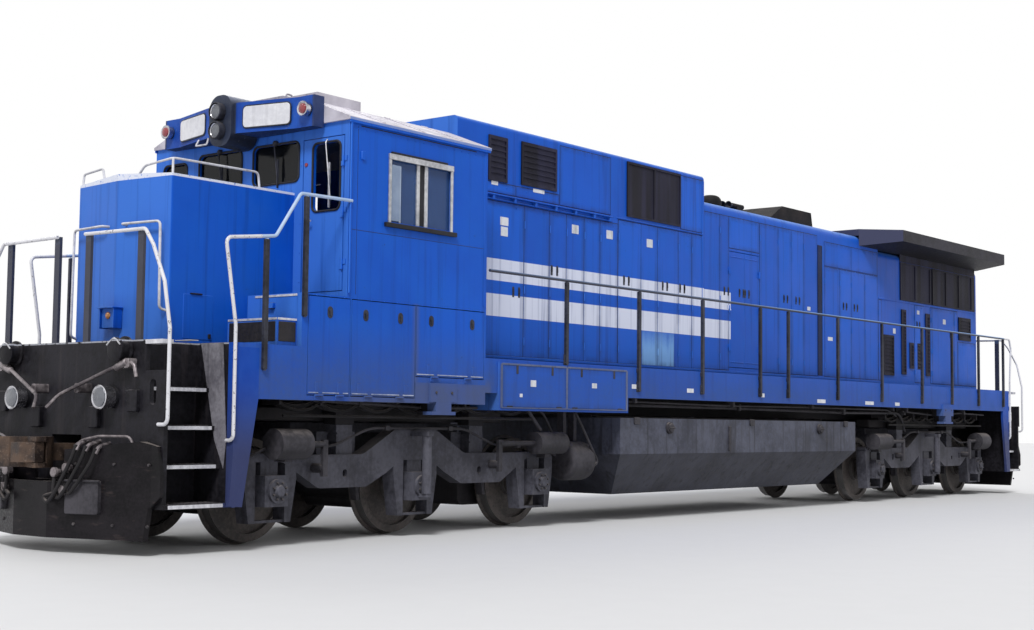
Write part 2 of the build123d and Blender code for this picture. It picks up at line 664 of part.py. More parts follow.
# Cab doors: each leaf stands in its doorway with a gap all round and has a tall window
LEAF_Z = (DOOR_SILL + DOOR_GAP, DOOR_TOP - DOOR_GAP)
stations = barrels(DOOR_HEIGHT, CAB_HINGES, False)
with BuildPart() as cab_front_door:
    block((CAB_FRONT - DOOR_THICK, CAB_FRONT), (FRONT_DOOR_Y[0] + DOOR_GAP, FRONT_DOOR_Y[1] - DOOR_GAP),
          LEAF_Z)
    window(FRONT_FACE, *pane(FRONT_PANE_Y, FRONT_PANE_Z), PANE_ROUND, -DOOR_THICK)
    hinge_half(FRONT_DOOR_PIVOT, (0, 0, 1), (0, -1, 0), (1, 0, 0), stations)
save(cab_front_door, "cab_front_door")

with BuildPart() as cab_rear_door:
    block((CAB_REAR, CAB_REAR + DOOR_THICK), (REAR_DOOR_Y[0] + DOOR_GAP, REAR_DOOR_Y[1] - DOOR_GAP),
          LEAF_Z)
    window(REAR_FACE, *pane(REAR_PANE_Y, REAR_PANE_Z), PANE_ROUND, DOOR_THICK)
    hinge_half(REAR_DOOR_PIVOT, (0, 0, 1), (0, 1, 0), (-1, 0, 0), stations)
save(cab_rear_door, "cab_rear_door")

# Glass: flat panes set in the middle of the wall
GLASS = 12
with BuildPart() as window_glass:
    wall_middle = CAB_WALL / 2
    for side in (1, -1):
        block(SIDE_WINDOW_X, about(side * (HALF_WIDTH - wall_middle), GLASS / 2), SIDE_WINDOW_Z)
    for y, z, corner in FRONT_PANES:
        with BuildSketch(FRONT_FACE.offset(-wall_middle - GLASS / 2)) as outline:
            with Locations(pane(y, z)[0]):
                RectangleRounded(*pane(y, z)[1], corner)
        extrude(outline.sketch, amount=GLASS)
    with BuildSketch(REAR_FACE.offset(wall_middle - GLASS / 2)) as outline:
        with Locations(pane(both_sides(*REAR_PANE_Y)[1], REAR_PANE_Z)[0]):
            RectangleRounded(*pane(REAR_PANE_Y, REAR_PANE_Z)[1], PANE_ROUND)
    extrude(outline.sketch, amount=GLASS)
save(window_glass, "window_glass")

# Cab interior: two seats on posts and the control desk
SEAT_X = 6750
SEAT_Y = HALF_WIDTH - 480
SEAT_HALF = 240
SEAT_HEIGHT = 400
SEAT_CUSHION = 110
BACKREST = 100
BACKREST_TOP = 1050
SEAT_POST_RADIUS = 60
DESK_X = (7300, 7700)
DESK_Y = (-800, -250)
DESK_HEIGHT = 1080
with BuildPart() as cab_interior:
    for side in (1, -1):
        drum((SEAT_X, side * SEAT_Y, DOOR_SILL + SEAT_HEIGHT / 2), (0, 0, 1), SEAT_POST_RADIUS,
             SEAT_HEIGHT - 2 * SEAT)
        across = about(side * SEAT_Y, SEAT_HALF)
        block(about(SEAT_X, SEAT_HALF), across,
              (DOOR_SILL + SEAT_HEIGHT - SEAT, DOOR_SILL + SEAT_HEIGHT + SEAT_CUSHION))
        block((SEAT_X - SEAT_HALF - BACKREST / 2, SEAT_X - SEAT_HALF + BACKREST / 2), across,
              (DOOR_SILL + SEAT_HEIGHT, DOOR_SILL + BACKREST_TOP))
    block(DESK_X, DESK_Y, (DOOR_SILL + SEAT, DOOR_SILL + DESK_HEIGHT))
save(cab_interior, "cab_interior")

# Number box: two swept-back boards, a marker lamp housing at each end and the headlight frame
BOARD_OUTER = (8235, 930)
BOARD_INNER = (8400, 235)
BOARD_TOP = RAIL + 4470
BOARD_BOTTOM = RAIL + 4150
LAMP_FRAME_X = 8440
LAMP_FRAME_HALF = 175
LAMP_FRAME_Z = (RAIL + 4030, RAIL + 4570)
LAMP_FRAME_ROUND = 150
MARKER_Y = 1083
MARKER_Z = RAIL + 4325
MARKER_MARGIN = 90
MARKER_SETBACK = 15
NUMBER_BOX_BACK = CAB_FRONT + ROOF_OVERHANG + SEAT
BOX_OUTLINE = (
    # x, y of the left half of the box seen from above
    (NUMBER_BOX_BACK, MARKER_Y + MARKER_MARGIN),
    (BOARD_OUTER[0] - MARKER_SETBACK, MARKER_Y + MARKER_MARGIN),
    (BOARD_OUTER[0] - MARKER_SETBACK, BOARD_OUTER[1]),
    BOARD_INNER,
)
with BuildPart() as number_box:
    with BuildSketch(Plane.XY.offset(BOARD_BOTTOM)):
        with BuildLine():
            Polyline(*BOX_OUTLINE, *[(x, -y) for x, y in reversed(BOX_OUTLINE)], close=True)
        make_face()
    extrude(amount=BOARD_TOP - BOARD_BOTTOM)
    lamp_frame = Plane(origin=(LAMP_FRAME_X, 0, 0), x_dir=(0, 1, 0), z_dir=(1, 0, 0))
    with BuildSketch(lamp_frame) as outline:
        with Locations((0, (LAMP_FRAME_Z[0] + LAMP_FRAME_Z[1]) / 2)):
            RectangleRounded(2 * LAMP_FRAME_HALF, LAMP_FRAME_Z[1] - LAMP_FRAME_Z[0], LAMP_FRAME_ROUND)
    extrude(outline.sketch, amount=NUMBER_BOX_BACK - LAMP_FRAME_X)
save(number_box, "number_box")

# Lamps: twin headlights, two markers, two ditch lights on each end sheet
HEADLIGHT_Z = (RAIL + 4190, RAIL + 4390)
HEADLIGHT_RADIUS = 88
HEADLIGHT_LENGTH = 50
MARKER_RADIUS = 68
MARKER_LENGTH = 70
DITCH_Y = 690
DITCH_Z = RAIL + 1380
DITCH_RADIUS = 100
DITCH_LENGTH = 140
with BuildPart() as lamps:
    for z in HEADLIGHT_Z:
        drum((LAMP_FRAME_X + SEAT + HEADLIGHT_LENGTH / 2, 0, z), (1, 0, 0), HEADLIGHT_RADIUS,
             HEADLIGHT_LENGTH)
    for side in (1, -1):
        marker_x = BOARD_OUTER[0] - MARKER_SETBACK + MARKER_LENGTH / 2
        drum((marker_x, side * MARKER_Y, MARKER_Z), (1, 0, 0), MARKER_RADIUS, MARKER_LENGTH - 2 * SEAT)
        for name, end in ENDS:
            ditch_x = end * (PLATFORM_END + DITCH_LENGTH / 2)
            drum((ditch_x, side * DITCH_Y, DITCH_Z), (1, 0, 0), DITCH_RADIUS, DITCH_LENGTH - 2 * SEAT)
save(lamps, "lamps")

# Side boxes: equipment boxes hung from the sill behind the cab
SIDE_BOX_X = (3170, 5680)
SIDE_BOX_BOTTOM = RAIL + 1330
SIDE_BOX_PROUD = 25
SIDE_BOX_DEPTH = 400
SIDE_BOX_TOP = RAIL + 1870
with BuildPart() as side_boxes:
    for side in (1, -1):
        block(SIDE_BOX_X, toward(side, HALF_WIDTH + SEAT, HALF_WIDTH + SIDE_BOX_PROUD),
              (SIDE_BOX_BOTTOM, SIDE_BOX_TOP))
        block(SIDE_BOX_X, toward(side, HALF_WIDTH - SIDE_BOX_DEPTH, HALF_WIDTH + SIDE_BOX_PROUD),
              (SIDE_BOX_BOTTOM, SILL_BOTTOM - SEAT))
save(side_boxes, "side_boxes")


def hood(front, rear, half, top, edge):
    """A hollow hood open at the bottom, with its two long top edges rounded."""
    with BuildPart() as shell:
        block((rear, front), (-half, half), (DECK + SEAT, top))
        fillet(shell.edges().filter_by(Axis.X).group_by(Axis.Z)[-1], edge)
        with BuildPart(mode=Mode.PRIVATE) as inside:
            block(
                (rear + HOOD_WALL, front - HOOD_WALL),
                (-half + HOOD_WALL, half - HOOD_WALL),
                (DECK, top - HOOD_WALL),
            )
            fillet(inside.edges().filter_by(Axis.X).group_by(Axis.Z)[-1], edge - HOOD_WALL)
        add(inside.part, mode=Mode.SUBTRACT)
    return shell


# Blower hood: the tall hood behind the cab
blower_hood = hood(CAB_REAR - ROOF_OVERHANG - SEAT, BLOWER_REAR, BLOWER_HALF, BLOWER_TOP, BLOWER_EDGE)
save(blower_hood, "blower_hood")

# Engine hood, with a doorway for a pair of doors on each side
HOOD_DOOR_X = (-1010, -150)
HOOD_DOOR_Z = (DECK + 120, RAIL + 3700)
HOOD_DOOR_SPLIT = (HOOD_DOOR_X[0] + HOOD_DOOR_X[1]) / 2
HOOD_DOOR_MIDDLE = (HOOD_DOOR_Z[0] + HOOD_DOOR_Z[1]) / 2
HOOD_DOOR_HEIGHT = HOOD_DOOR_Z[1] - HOOD_DOOR_Z[0] - 2 * DOOR_GAP
HALF_GAP = DOOR_GAP / 2
HOOD_HINGES = 3
HOOD_DOORS = (
    # name, low x, high x, hinge line x, direction from the hinge line over the leaf
    ("hood_door_front", HOOD_DOOR_SPLIT + HALF_GAP, HOOD_DOOR_X[1] - DOOR_GAP,
     HOOD_DOOR_X[1] - HALF_GAP, -1),
    ("hood_door_rear", HOOD_DOOR_X[0] + DOOR_GAP, HOOD_DOOR_SPLIT - HALF_GAP,
     HOOD_DOOR_X[0] + HALF_GAP, 1),
)
engine_hood_shell = hood(BLOWER_REAR - SEAT, HOOD_REAR, HOOD_HALF, HOOD_TOP, HOOD_EDGE)
stations = barrels(HOOD_DOOR_HEIGHT, HOOD_HINGES, True)
with BuildPart() as engine_hood:
    add(engine_hood_shell.part)
    block(HOOD_DOOR_X, (-HOOD_HALF, HOOD_HALF), HOOD_DOOR_Z, mode=Mode.SUBTRACT)
    for side in (1, -1):
        for label, low, high, jamb, way in HOOD_DOORS:
            pivot = (jamb, side * (HOOD_HALF + HINGE_PROUD), HOOD_DOOR_MIDDLE)
            hinge_half(pivot, (0, 0, 1), (-way, 0, 0), (0, side, 0), stations)
save(engine_hood, "engine_hood")

stations = barrels(HOOD_DOOR_HEIGHT, HOOD_HINGES, False)
for side_name, side in SIDES:
    for label, low, high, jamb, way in HOOD_DOORS:
        with BuildPart() as hood_door:
            leaf = toward(side, HOOD_HALF - DOOR_THICK, HOOD_HALF)
            block((low, high), leaf, (HOOD_DOOR_Z[0] + DOOR_GAP, HOOD_DOOR_Z[1] - DOOR_GAP))
            pivot = (jamb, side * (HOOD_HALF + HINGE_PROUD), HOOD_DOOR_MIDDLE)
            hinge_half(pivot, (0, 0, 1), (way, 0, 0), (0, side, 0), stations)
        save(hood_door, f"{label}_{side_name}")

# Radiator hood and the canopy over it: a wing with slanted front corners and a sloping underside
CANOPY_FRONT = -4300
CANOPY_CORNER = -4800
CANOPY_REAR = -9245
CANOPY_HALF = 1556
CANOPY_BOTTOM = RAIL + 4180
CANOPY_EDGE_BOTTOM = RAIL + 4270
CANOPY_TOP = RAIL + 4457
CANOPY_LIP = 10
radiator_hood = hood(HOOD_REAR - SEAT, RADIATOR_REAR, HOOD_HALF, CANOPY_BOTTOM - SEAT, HOOD_EDGE)
save(radiator_hood, "radiator_hood")

CANOPY_OUTLINE = (
    # x, y of the left half of the canopy seen from above
    (CANOPY_FRONT, HOOD_HALF),
    (CANOPY_CORNER, CANOPY_HALF),
    (CANOPY_REAR, CANOPY_HALF),
)
with BuildPart() as radiator_canopy:
    with BuildSketch(Plane.XY.offset(CANOPY_BOTTOM)):
        with BuildLine():
            Polyline(*CANOPY_OUTLINE, *[(x, -y) for x, y in reversed(CANOPY_OUTLINE)], close=True)
        make_face()
    extrude(amount=CANOPY_TOP - CANOPY_BOTTOM)
    for side in (1, -1):
        with BuildSketch(Plane.YZ.offset(CANOPY_REAR)):
            with BuildLine():
                Polyline(
                    (side * (HOOD_HALF + CANOPY_LIP), CANOPY_BOTTOM),
                    (side * (CANOPY_HALF + CANOPY_LIP), CANOPY_BOTTOM),
                    (side * (CANOPY_HALF + CANOPY_LIP), CANOPY_EDGE_BOTTOM),
                    close=True,
                )
            make_face()
        extrude(amount=CANOPY_FRONT - CANOPY_REAR, mode=Mode.SUBTRACT)
    block(
        (HOOD_REAR - SEAT, CANOPY_FRONT + CANOPY_LIP),
        (-HOOD_HALF - SEAT, HOOD_HALF + SEAT),
        (CANOPY_BOTTOM - CANOPY_LIP, HOOD_TOP + SEAT),
        mode=Mode.SUBTRACT,
    )
save(radiator_canopy, "radiator_canopy")

# Grilles: louvre panels and screens bolted on the hood sides, each a plate with its slats or bars
GRILLE_PLATE = 6
GRILLE_FRAME = 30
GRILLE_PROUD = 20
SLAT = 14
LOUVRES = (
    # low x, high x, low z, high z, half width of the hood it is on, height from slat to slat
    (4980, 5320, 4000, 4530, BLOWER_HALF, 66),
    (4020, 4710, 4020, 4540, BLOWER_HALF, 65),
    (-5590, -5190, 2075, 2760, HOOD_HALF, 62),
    (-6080, -5900, 2110, 3230, HOOD_HALF, 62),
    (-6390, -6230, 2220, 2670, HOOD_HALF, 62),
    (-7070, -6900, 2110, 3220, HOOD_HALF, 62),
    (-8926, -8371, 2820, 3245, HOOD_HALF, 62),
)
SCREENS = (
    # low x, high x, low z, high z, half width of the hood it is on, number of bays
    (1220, 2500, 3890, 4615, BLOWER_HALF, 2),
    (-7090, -5860, 3390, 4050, HOOD_HALF, 2),
    (-8980, -7200, 3390, 4050, HOOD_HALF, 3),
)
with BuildPart() as grilles:
    for half in (BLOWER_HALF, HOOD_HALF):
        louvres = [row[:4] + row[5:] for row in LOUVRES if row[4] == half]
        screens = [row[:4] + row[5:] for row in SCREENS if row[4] == half]
        for side in (1, -1):
            hood_face = Plane.XZ.offset(-side * (half + SEAT))
            with BuildSketch(hood_face) as plates:
                for low_x, high_x, low_z, high_z, count in louvres + screens:
                    with Locations(((low_x + high_x) / 2, RAIL + (low_z + high_z) / 2)):
                        Rectangle(high_x - low_x, high_z - low_z)
            extrude(plates.sketch, amount=-side * GRILLE_PLATE)
            with BuildSketch(hood_face) as slats:
                add(plates.sketch)
                for low_x, high_x, low_z, high_z, pitch in louvres:
                    count = int((high_z - low_z - 2 * GRILLE_FRAME) // pitch)
                    with Locations(((low_x + high_x) / 2, RAIL + (low_z + high_z) / 2)):
                        with GridLocations(1, pitch, 1, count):
                            Rectangle(high_x - low_x - 2 * GRILLE_FRAME, pitch - SLAT, mode=Mode.SUBTRACT)
                for low_x, high_x, low_z, high_z, bays in screens:
                    bay = (high_x - low_x) / bays
                    with Locations(((low_x + high_x) / 2, RAIL + (low_z + high_z) / 2)):
                        with GridLocations(bay, 1, bays, 1):
                            Rectangle(bay - GRILLE_FRAME, high_z - low_z - 2 * GRILLE_FRAME,
                                      mode=Mode.SUBTRACT)
            extrude(slats.sketch, amount=-side * (GRILLE_PROUD - SEAT))
save(grilles, "grilles")

# Engine and generator: one plain block on the deck inside the hoods
ENGINE_X = (-4700, 450)
ENGINE_HALF = 700
ENGINE_TOP = RAIL + 4050
with BuildPart() as engine_block:
    block(ENGINE_X, (-ENGINE_HALF, ENGINE_HALF), (DECK + SEAT, ENGINE_TOP))
save(engine_block, "engine_block")

# Roof fittings: exhaust stack, bell dome and a cluster of air horns
STACK_HALF = 430
STACK_OUTLINE = (
    # x, z of the stack's side
    (-2150, HOOD_TOP + SEAT),
    (-2750, RAIL + 4700),
    (-3720, RAIL + 4700),
    (-3800, HOOD_TOP + SEAT),
)
BELL_X = -580
BELL_Y = 420
BELL_RADIUS = 170
BELL_HEIGHT = 250
BELL_ROUND = 110
HORN_X = -1180
HORN_BASE_X = (-1250, -1110)
HORN_BASE_HALF = 150
HORN_Z = HOOD_TOP + 150
HORN_LENGTH = 300
HORN_BELLS = (
    # y from the middle of the cluster, radius
    (-105, 34),
    (0, 44),
    (105, 38),
)
with BuildPart() as roof_fittings:
    with BuildSketch(Plane.XZ.offset(-STACK_HALF)):
        with BuildLine():
            Polyline(*STACK_OUTLINE, close=True)
        make_face()
    extrude(amount=2 * STACK_HALF)
    bell_middle = (BELL_X, BELL_Y, HOOD_TOP + SEAT + BELL_HEIGHT / 2)
    drum(bell_middle, (0, 0, 1), BELL_RADIUS, BELL_HEIGHT)
    bell_rim = roof_fittings.edges().filter_by(GeomType.CIRCLE).sort_by(Axis.Z)[-1]
    fillet(bell_rim, BELL_ROUND)
    block(HORN_BASE_X, about(BELL_Y, HORN_BASE_HALF), (HOOD_TOP + SEAT, HORN_Z))
    for y, radius in HORN_BELLS:
        drum((HORN_X, BELL_Y + y, HORN_Z), (1, 0, 0), radius, HORN_LENGTH)
save(roof_fittings, "roof_fittings")

# Side handrails: a long rail a side on round posts fixed to the outside of the sill
RAIL_BAR = 17
POST_BAR = 17
SIDE_RAIL_Y = HALF_WIDTH + SEAT + POST_BAR
SIDE_RAIL_Z = RAIL + 2870
SIDE_RAIL_X = (5860, -9400)
POST_FOOT = RAIL + 1612
SIDE_POSTS = (4435, 2920, 1420, -110, -920, -2475, -4010, -5550, -6800, -7990, -9170)
with BuildPart() as side_handrails:
    for side in (1, -1):
        y = side * SIDE_RAIL_Y
        pipe([(SIDE_RAIL_X[0], y, SIDE_RAIL_Z), (SIDE_RAIL_X[1], y, SIDE_RAIL_Z)], RAIL_BAR, 0)
        for x in SIDE_POSTS:
            foot = SIDE_BOX_TOP + SEAT if SIDE_BOX_X[0] < x < SIDE_BOX_X[1] else POST_FOOT
            pipe([(x, y, foot), (x, y, SIDE_RAIL_Z - RAIL_BAR - SEAT)], POST_BAR, 0)
save(side_handrails, "side_handrails")

# End handrails: rails beside the nose and porch, rails down the steps and across both platforms
RAIL_BEND = 60
STEP_RAIL_X = PLATFORM_END + SEAT + RAIL_BAR
WALL_RAIL_X = WALL_FRONT + SEAT + RAIL_BAR
NOSE_RAIL_POSTS = (
    # x, foot z, top z
    (8630, PORCH_STEP_TOP + 10, RAIL + 3371 - RAIL_BAR - SEAT),
    (9130, RAIL + 1650, RAIL + 2908 - RAIL_BAR - SEAT),
)
NOSE_RAIL = (
    # x, z along the rail from the cab side down to the foot of the steps
    (8020, RAIL + 3380),
    (8710, RAIL + 3370),
    (9020, RAIL + 2925),
    (9626, RAIL + 2853),
    (WALL_RAIL_X, RAIL + 2056),
    (WALL_RAIL_X, RAIL + 1000),
)
NOSE_RAIL_END_Y = 1440
STEP_RAIL = (
    # y, z along the rail from the middle of the platform down to the foot of the steps
    (217, RAIL + 2909),
    (1117, RAIL + 2900),
    (1237, RAIL + 2749),
    (1410, RAIL + 2410),
    (1500, RAIL + 1990),
    (1500, RAIL + 1140),
    (1370, RAIL + 1140),
)
END_POSTS = ((205, 285), (990, 1070))
END_POST_THICK = 30
END_POST_TOP = RAIL + 2915
REAR_RAIL = (
    # x, z along the rear rail from the end of the long rail down to the foot of the steps
    (SIDE_RAIL_X[1] - SEAT, SIDE_RAIL_Z),
    (-9480, SIDE_RAIL_Z),
    (-9560, RAIL + 2700),
    (-WALL_RAIL_X, RAIL + 2056),
    (-WALL_RAIL_X, RAIL + 1000),
)
with BuildPart() as end_handrails:
    for side in (1, -1):
        y = side * SIDE_RAIL_Y
        end_y = side * NOSE_RAIL_END_Y
        for path in (NOSE_RAIL, REAR_RAIL):
            pipe([*[(x, y, z) for x, z in path], (path[-1][0], end_y, path[-1][1])], RAIL_BAR, RAIL_BEND)
        for x, low, high in NOSE_RAIL_POSTS:
            pipe([(x, y, low), (x, y, high)], POST_BAR, 0)
        for name, end in ENDS:
            pipe([(end * STEP_RAIL_X, side * across, z) for across, z in STEP_RAIL], RAIL_BAR, RAIL_BEND)
            for span in END_POSTS:
                block(toward(end, PLATFORM_END - END_POST_THICK, PLATFORM_END), toward(side, *span),
                      (DECK + SEAT, END_POST_TOP))
save(end_handrails, "end_handrails")


# Wheelsets: an axle with its two flanged wheels
AXLE_RADIUS = 95
JOURNAL_RADIUS = 80
AXLE_HALF = 1190
WHEEL_BACK = 680
WHEEL_WIDTH = 140
FLANGE_THICK = 32
RIM_DEPTH = 75
PLATE_HALF = 22
HUB_RADIUS = 170
HUB_PROUD = 20
AXLE_Z = RAIL + WHEEL_RADIUS
AXLES = (("outer", AXLE_GAP), ("middle", 0), ("inner", -AXLE_GAP))


def wheelset(x):
    """An axle across the track at x, turned in one piece with its wheels."""
    middle = WHEEL_BACK + WHEEL_WIDTH / 2
    outer = WHEEL_BACK + WHEEL_WIDTH
    half = [
        (0, 0),
        (AXLE_RADIUS, 0),
        (AXLE_RADIUS, WHEEL_BACK - HUB_PROUD),
        (HUB_RADIUS, WHEEL_BACK - HUB_PROUD),
        (HUB_RADIUS, middle - PLATE_HALF),
        (WHEEL_RADIUS - RIM_DEPTH, middle - PLATE_HALF),
        (WHEEL_RADIUS - RIM_DEPTH, WHEEL_BACK),
        (WHEEL_RADIUS + FLANGE_HEIGHT, WHEEL_BACK),
        (WHEEL_RADIUS + FLANGE_HEIGHT, WHEEL_BACK + FLANGE_THICK / 2),
        (WHEEL_RADIUS, WHEEL_BACK + FLANGE_THICK),
        (WHEEL_RADIUS, outer),
        (WHEEL_RADIUS - RIM_DEPTH, outer),
        (WHEEL_RADIUS - RIM_DEPTH, middle + PLATE_HALF),
        (HUB_RADIUS, middle + PLATE_HALF),
        (HUB_RADIUS, outer + HUB_PROUD),
        (JOURNAL_RADIUS, outer + HUB_PROUD),
        (JOURNAL_RADIUS, AXLE_HALF),
        (0, AXLE_HALF),
    ]
    with BuildPart() as turned:
        with BuildSketch(Plane.XY):
            with BuildLine():
                Polyline(*half, close=True)
            make_face()
        revolve(axis=Axis.Y, revolution_arc=360)
        mirror(about=Plane.XZ)
    with BuildPart() as placed:
        add(turned.part.moved(Location((x, 0, AXLE_Z))))
    return placed


for truck, end in ENDS:
    for place, offset in AXLES:
        save(wheelset(end * (TRUCK_X + offset)), f"{truck}_wheelset_{place}")

# Truck frames: cast side frames that dip between the axles, pedestals, transoms and a centre plate
FRAME_INNER = 985
FRAME_OUTER = 1150
FRAME_UNDER = RAIL + 785
FRAME_TOP = RAIL + 1080
FRAME_SIDE = (
    # x from the truck's middle, z and rounding of each corner of the frame's right half
    (300, RAIL + 1120, 120),
    (800, RAIL + 850, 200),
    (1840, RAIL + 850, 200),
    (2400, RAIL + 880, 40),
    (2400, FRAME_UNDER, 40),
    (1920, FRAME_UNDER, 150),
    (1430, RAIL + 515, 150),
    (750, RAIL + 515, 150),
    (460, RAIL + 650, 150),
    (230, FRAME_UNDER, 80),
)
FRAME_HOLES = (
    # x from the truck's middle, low z, high z
    (1385, RAIL + 640, RAIL + 750),
    (1060, RAIL + 620, RAIL + 700),
)
HOLE_WIDTH = 64
BOX_HALF = 150
PEDESTAL_INNER = BOX_HALF + 40
PEDESTAL_BOTTOM = RAIL + 200
PEDESTAL = (
    # x from the axle, z of each corner of a pedestal leg
    (PEDESTAL_INNER, PEDESTAL_BOTTOM),
    (PEDESTAL_INNER + 80, PEDESTAL_BOTTOM),
    (PEDESTAL_INNER + 150, AXLE_Z + 110),
    (PEDESTAL_INNER + 150, FRAME_UNDER + 20),
    (PEDESTAL_INNER, FRAME_UNDER + 20),
)
TIE_BAR_Y = (1010, 1130)
TIE_BAR = 25
TRANSOM_X = (760, 1310)
TRANSOM_Z = (RAIL + 760, FRAME_TOP)
CENTRE_BEAM_HALF = 600
CENTRE_BEAM_TOP = FRAME_TOP + 90
PLATE_TOP = BOLSTER_BOTTOM - SEAT
DAMPER_X = 35
DAMPER_Y = 1345
DAMPER_Z = (RAIL + 430, RAIL + 1040)
DAMPER_RADIUS = 52
DAMPER_EYE = 50
SPRING_Y = (960, 1110)
SPRING_X = SIDE_BEARER_X
SPRING_LAYERS = (
    # half length, low z, high z
    (115, RAIL + 840, RAIL + 960),
    (100, RAIL + 960, RAIL + 980),
    (115, RAIL + 980, RAIL + 1055),
    (100, RAIL + 1055, RAIL + 1075),
    (115, RAIL + 1075, SPRING_TOP),
)
for truck, end in ENDS:
    centre = end * TRUCK_X
    with BuildPart() as truck_frame:
        right = [(centre + x, z) for x, z, corner in FRAME_SIDE]
        left = [(centre - x, z) for x, z, corner in reversed(FRAME_SIDE)]
        radii = [corner for x, z, corner in FRAME_SIDE]
        for side in (1, -1):
            frame_y = toward(side, FRAME_INNER, FRAME_OUTER)
            with BuildSketch(Plane.XZ.offset(-frame_y[1])) as outline:
                with BuildLine():
                    FilletPolyline(*right, *left, radius=[*radii, *reversed(radii)], close=True)
                make_face()
                for x, low_z, high_z in FRAME_HOLES:
                    with Locations(*[(centre + way * x, (low_z + high_z) / 2) for way in (1, -1)]):
                        RectangleRounded(HOLE_WIDTH, high_z - low_z, HOLE_WIDTH / 2 - 1,
                                         mode=Mode.SUBTRACT)
                for place, offset in AXLES:
                    for way in (1, -1):
                        with BuildLine():
                            Polyline(*[(centre + offset + way * x, z) for x, z in PEDESTAL], close=True)
                        make_face()
            extrude(outline.sketch, amount=frame_y[1] - frame_y[0])
            for place, offset in AXLES:
                block(about(centre + offset, PEDESTAL_INNER + 80), toward(side, *TIE_BAR_Y),
                      (PEDESTAL_BOTTOM, PEDESTAL_BOTTOM + TIE_BAR))
            spring_y = toward(side, *SPRING_Y)
            with BuildSketch(Plane.XZ.offset(-spring_y[1])) as stacks:
                for half_length, low_z, high_z in SPRING_LAYERS:
                    with Locations(*[(centre + way * SPRING_X, (low_z + high_z) / 2) for way in (1, -1)]):
                        Rectangle(2 * half_length, high_z - low_z)
            extrude(stacks.sketch, amount=spring_y[1] - spring_y[0])
            block(about(centre + DAMPER_X, DAMPER_RADIUS),
                  toward(side, FRAME_OUTER, DAMPER_Y + DAMPER_RADIUS),
                  (DAMPER_Z[1], DAMPER_Z[1] + DAMPER_EYE))
            drum((centre + DAMPER_X, side * DAMPER_Y, (DAMPER_Z[0] + DAMPER_Z[1]) / 2), (0, 0, 1),
                 DAMPER_RADIUS, DAMPER_Z[1] - DAMPER_Z[0])
        for way in (1, -1):
            span = sorted((centre + way * TRANSOM_X[0], centre + way * TRANSOM_X[1]))
            block(span, (-FRAME_INNER, FRAME_INNER), TRANSOM_Z)
        block(about(centre, TRANSOM_X[1]), about(0, CENTRE_BEAM_HALF), (FRAME_TOP - 10, CENTRE_BEAM_TOP))
        drum((centre, 0, (FRAME_TOP + PLATE_TOP) / 2), (0, 0, 1), CENTRE_PIN_RADIUS + 200,
             PLATE_TOP - FRAME_TOP)
        drum((centre, 0, PLATE_TOP - CENTRE_PIN_LENGTH / 2), (0, 0, 1), CENTRE_PIN_RADIUS + 5,
             CENTRE_PIN_LENGTH + 10, mode=Mode.SUBTRACT)
    save(truck_frame, f"{truck}_truck_frame")

# Journal boxes: one on each axle end, with a round cap, a post up to the frame and a damper foot
BOX_INNER = 920
BOX_OUTER = 1245
CAP_RADIUS = 118
CAP_FACE = 1280
BOX_POST_HALF = 110
BORE_PAST = 1
FOOT_HALF = 36
for truck, end in ENDS:
    centre = end * TRUCK_X
    with BuildPart() as journal_boxes:
        for place, offset in AXLES:
            x = centre + offset
            for side in (1, -1):
                block(about(x, BOX_HALF), toward(side, BOX_INNER, BOX_OUTER), about(AXLE_Z, BOX_HALF))
                drum((x, side * (BOX_OUTER + CAP_FACE) / 2, AXLE_Z), (0, 1, 0), CAP_RADIUS,
                     CAP_FACE - BOX_OUTER)
                block(about(x, BOX_POST_HALF), toward(side, *TIE_BAR_Y),
                      (AXLE_Z + BOX_HALF, FRAME_UNDER - SEAT))
                bore_middle = (x, side * (BOX_INNER + AXLE_HALF) / 2, AXLE_Z)
                drum(bore_middle, (0, 1, 0), JOURNAL_RADIUS + 0.1, AXLE_HALF - BOX_INNER + BORE_PAST,
                     mode=Mode.SUBTRACT)
        for side in (1, -1):
            block(about(centre + DAMPER_X, FOOT_HALF),
                  toward(side, CAP_FACE - FOOT_HALF / 2, DAMPER_Y + FOOT_HALF),
                  (DAMPER_Z[0] - FOOT_HALF, DAMPER_Z[0] - SEAT))
    save(journal_boxes, f"{truck}_journal_boxes")

# Traction motors: one hung on each axle, each reaching towards the truck's middle
MOTOR_REACH = 700
MOTOR_HALF = 560
MOTOR_Z = (RAIL + 230, RAIL + 740)
MOTOR_ROUND = 90
SUSPENSION_RADIUS = 165
for truck, end in ENDS:
    with BuildPart() as motors:
        for place, offset in AXLES:
            x = end * (TRUCK_X + offset)
            way = end if place == "inner" else -end
            with BuildSketch(Plane.XZ.offset(-MOTOR_HALF)) as outline:
                with Locations((x + way * MOTOR_REACH / 2, (MOTOR_Z[0] + MOTOR_Z[1]) / 2)):
                    RectangleRounded(MOTOR_REACH, MOTOR_Z[1] - MOTOR_Z[0], MOTOR_ROUND)
            extrude(outline.sketch, amount=2 * MOTOR_HALF)
            drum((x, 0, AXLE_Z), (0, 1, 0), SUSPENSION_RADIUS, 2 * MOTOR_HALF)
            drum((x, 0, AXLE_Z), (0, 1, 0), AXLE_RADIUS + 0.1, 2 * WHEEL_BACK, mode=Mode.SUBTRACT)
    save(motors, f"{truck}_traction_motors")

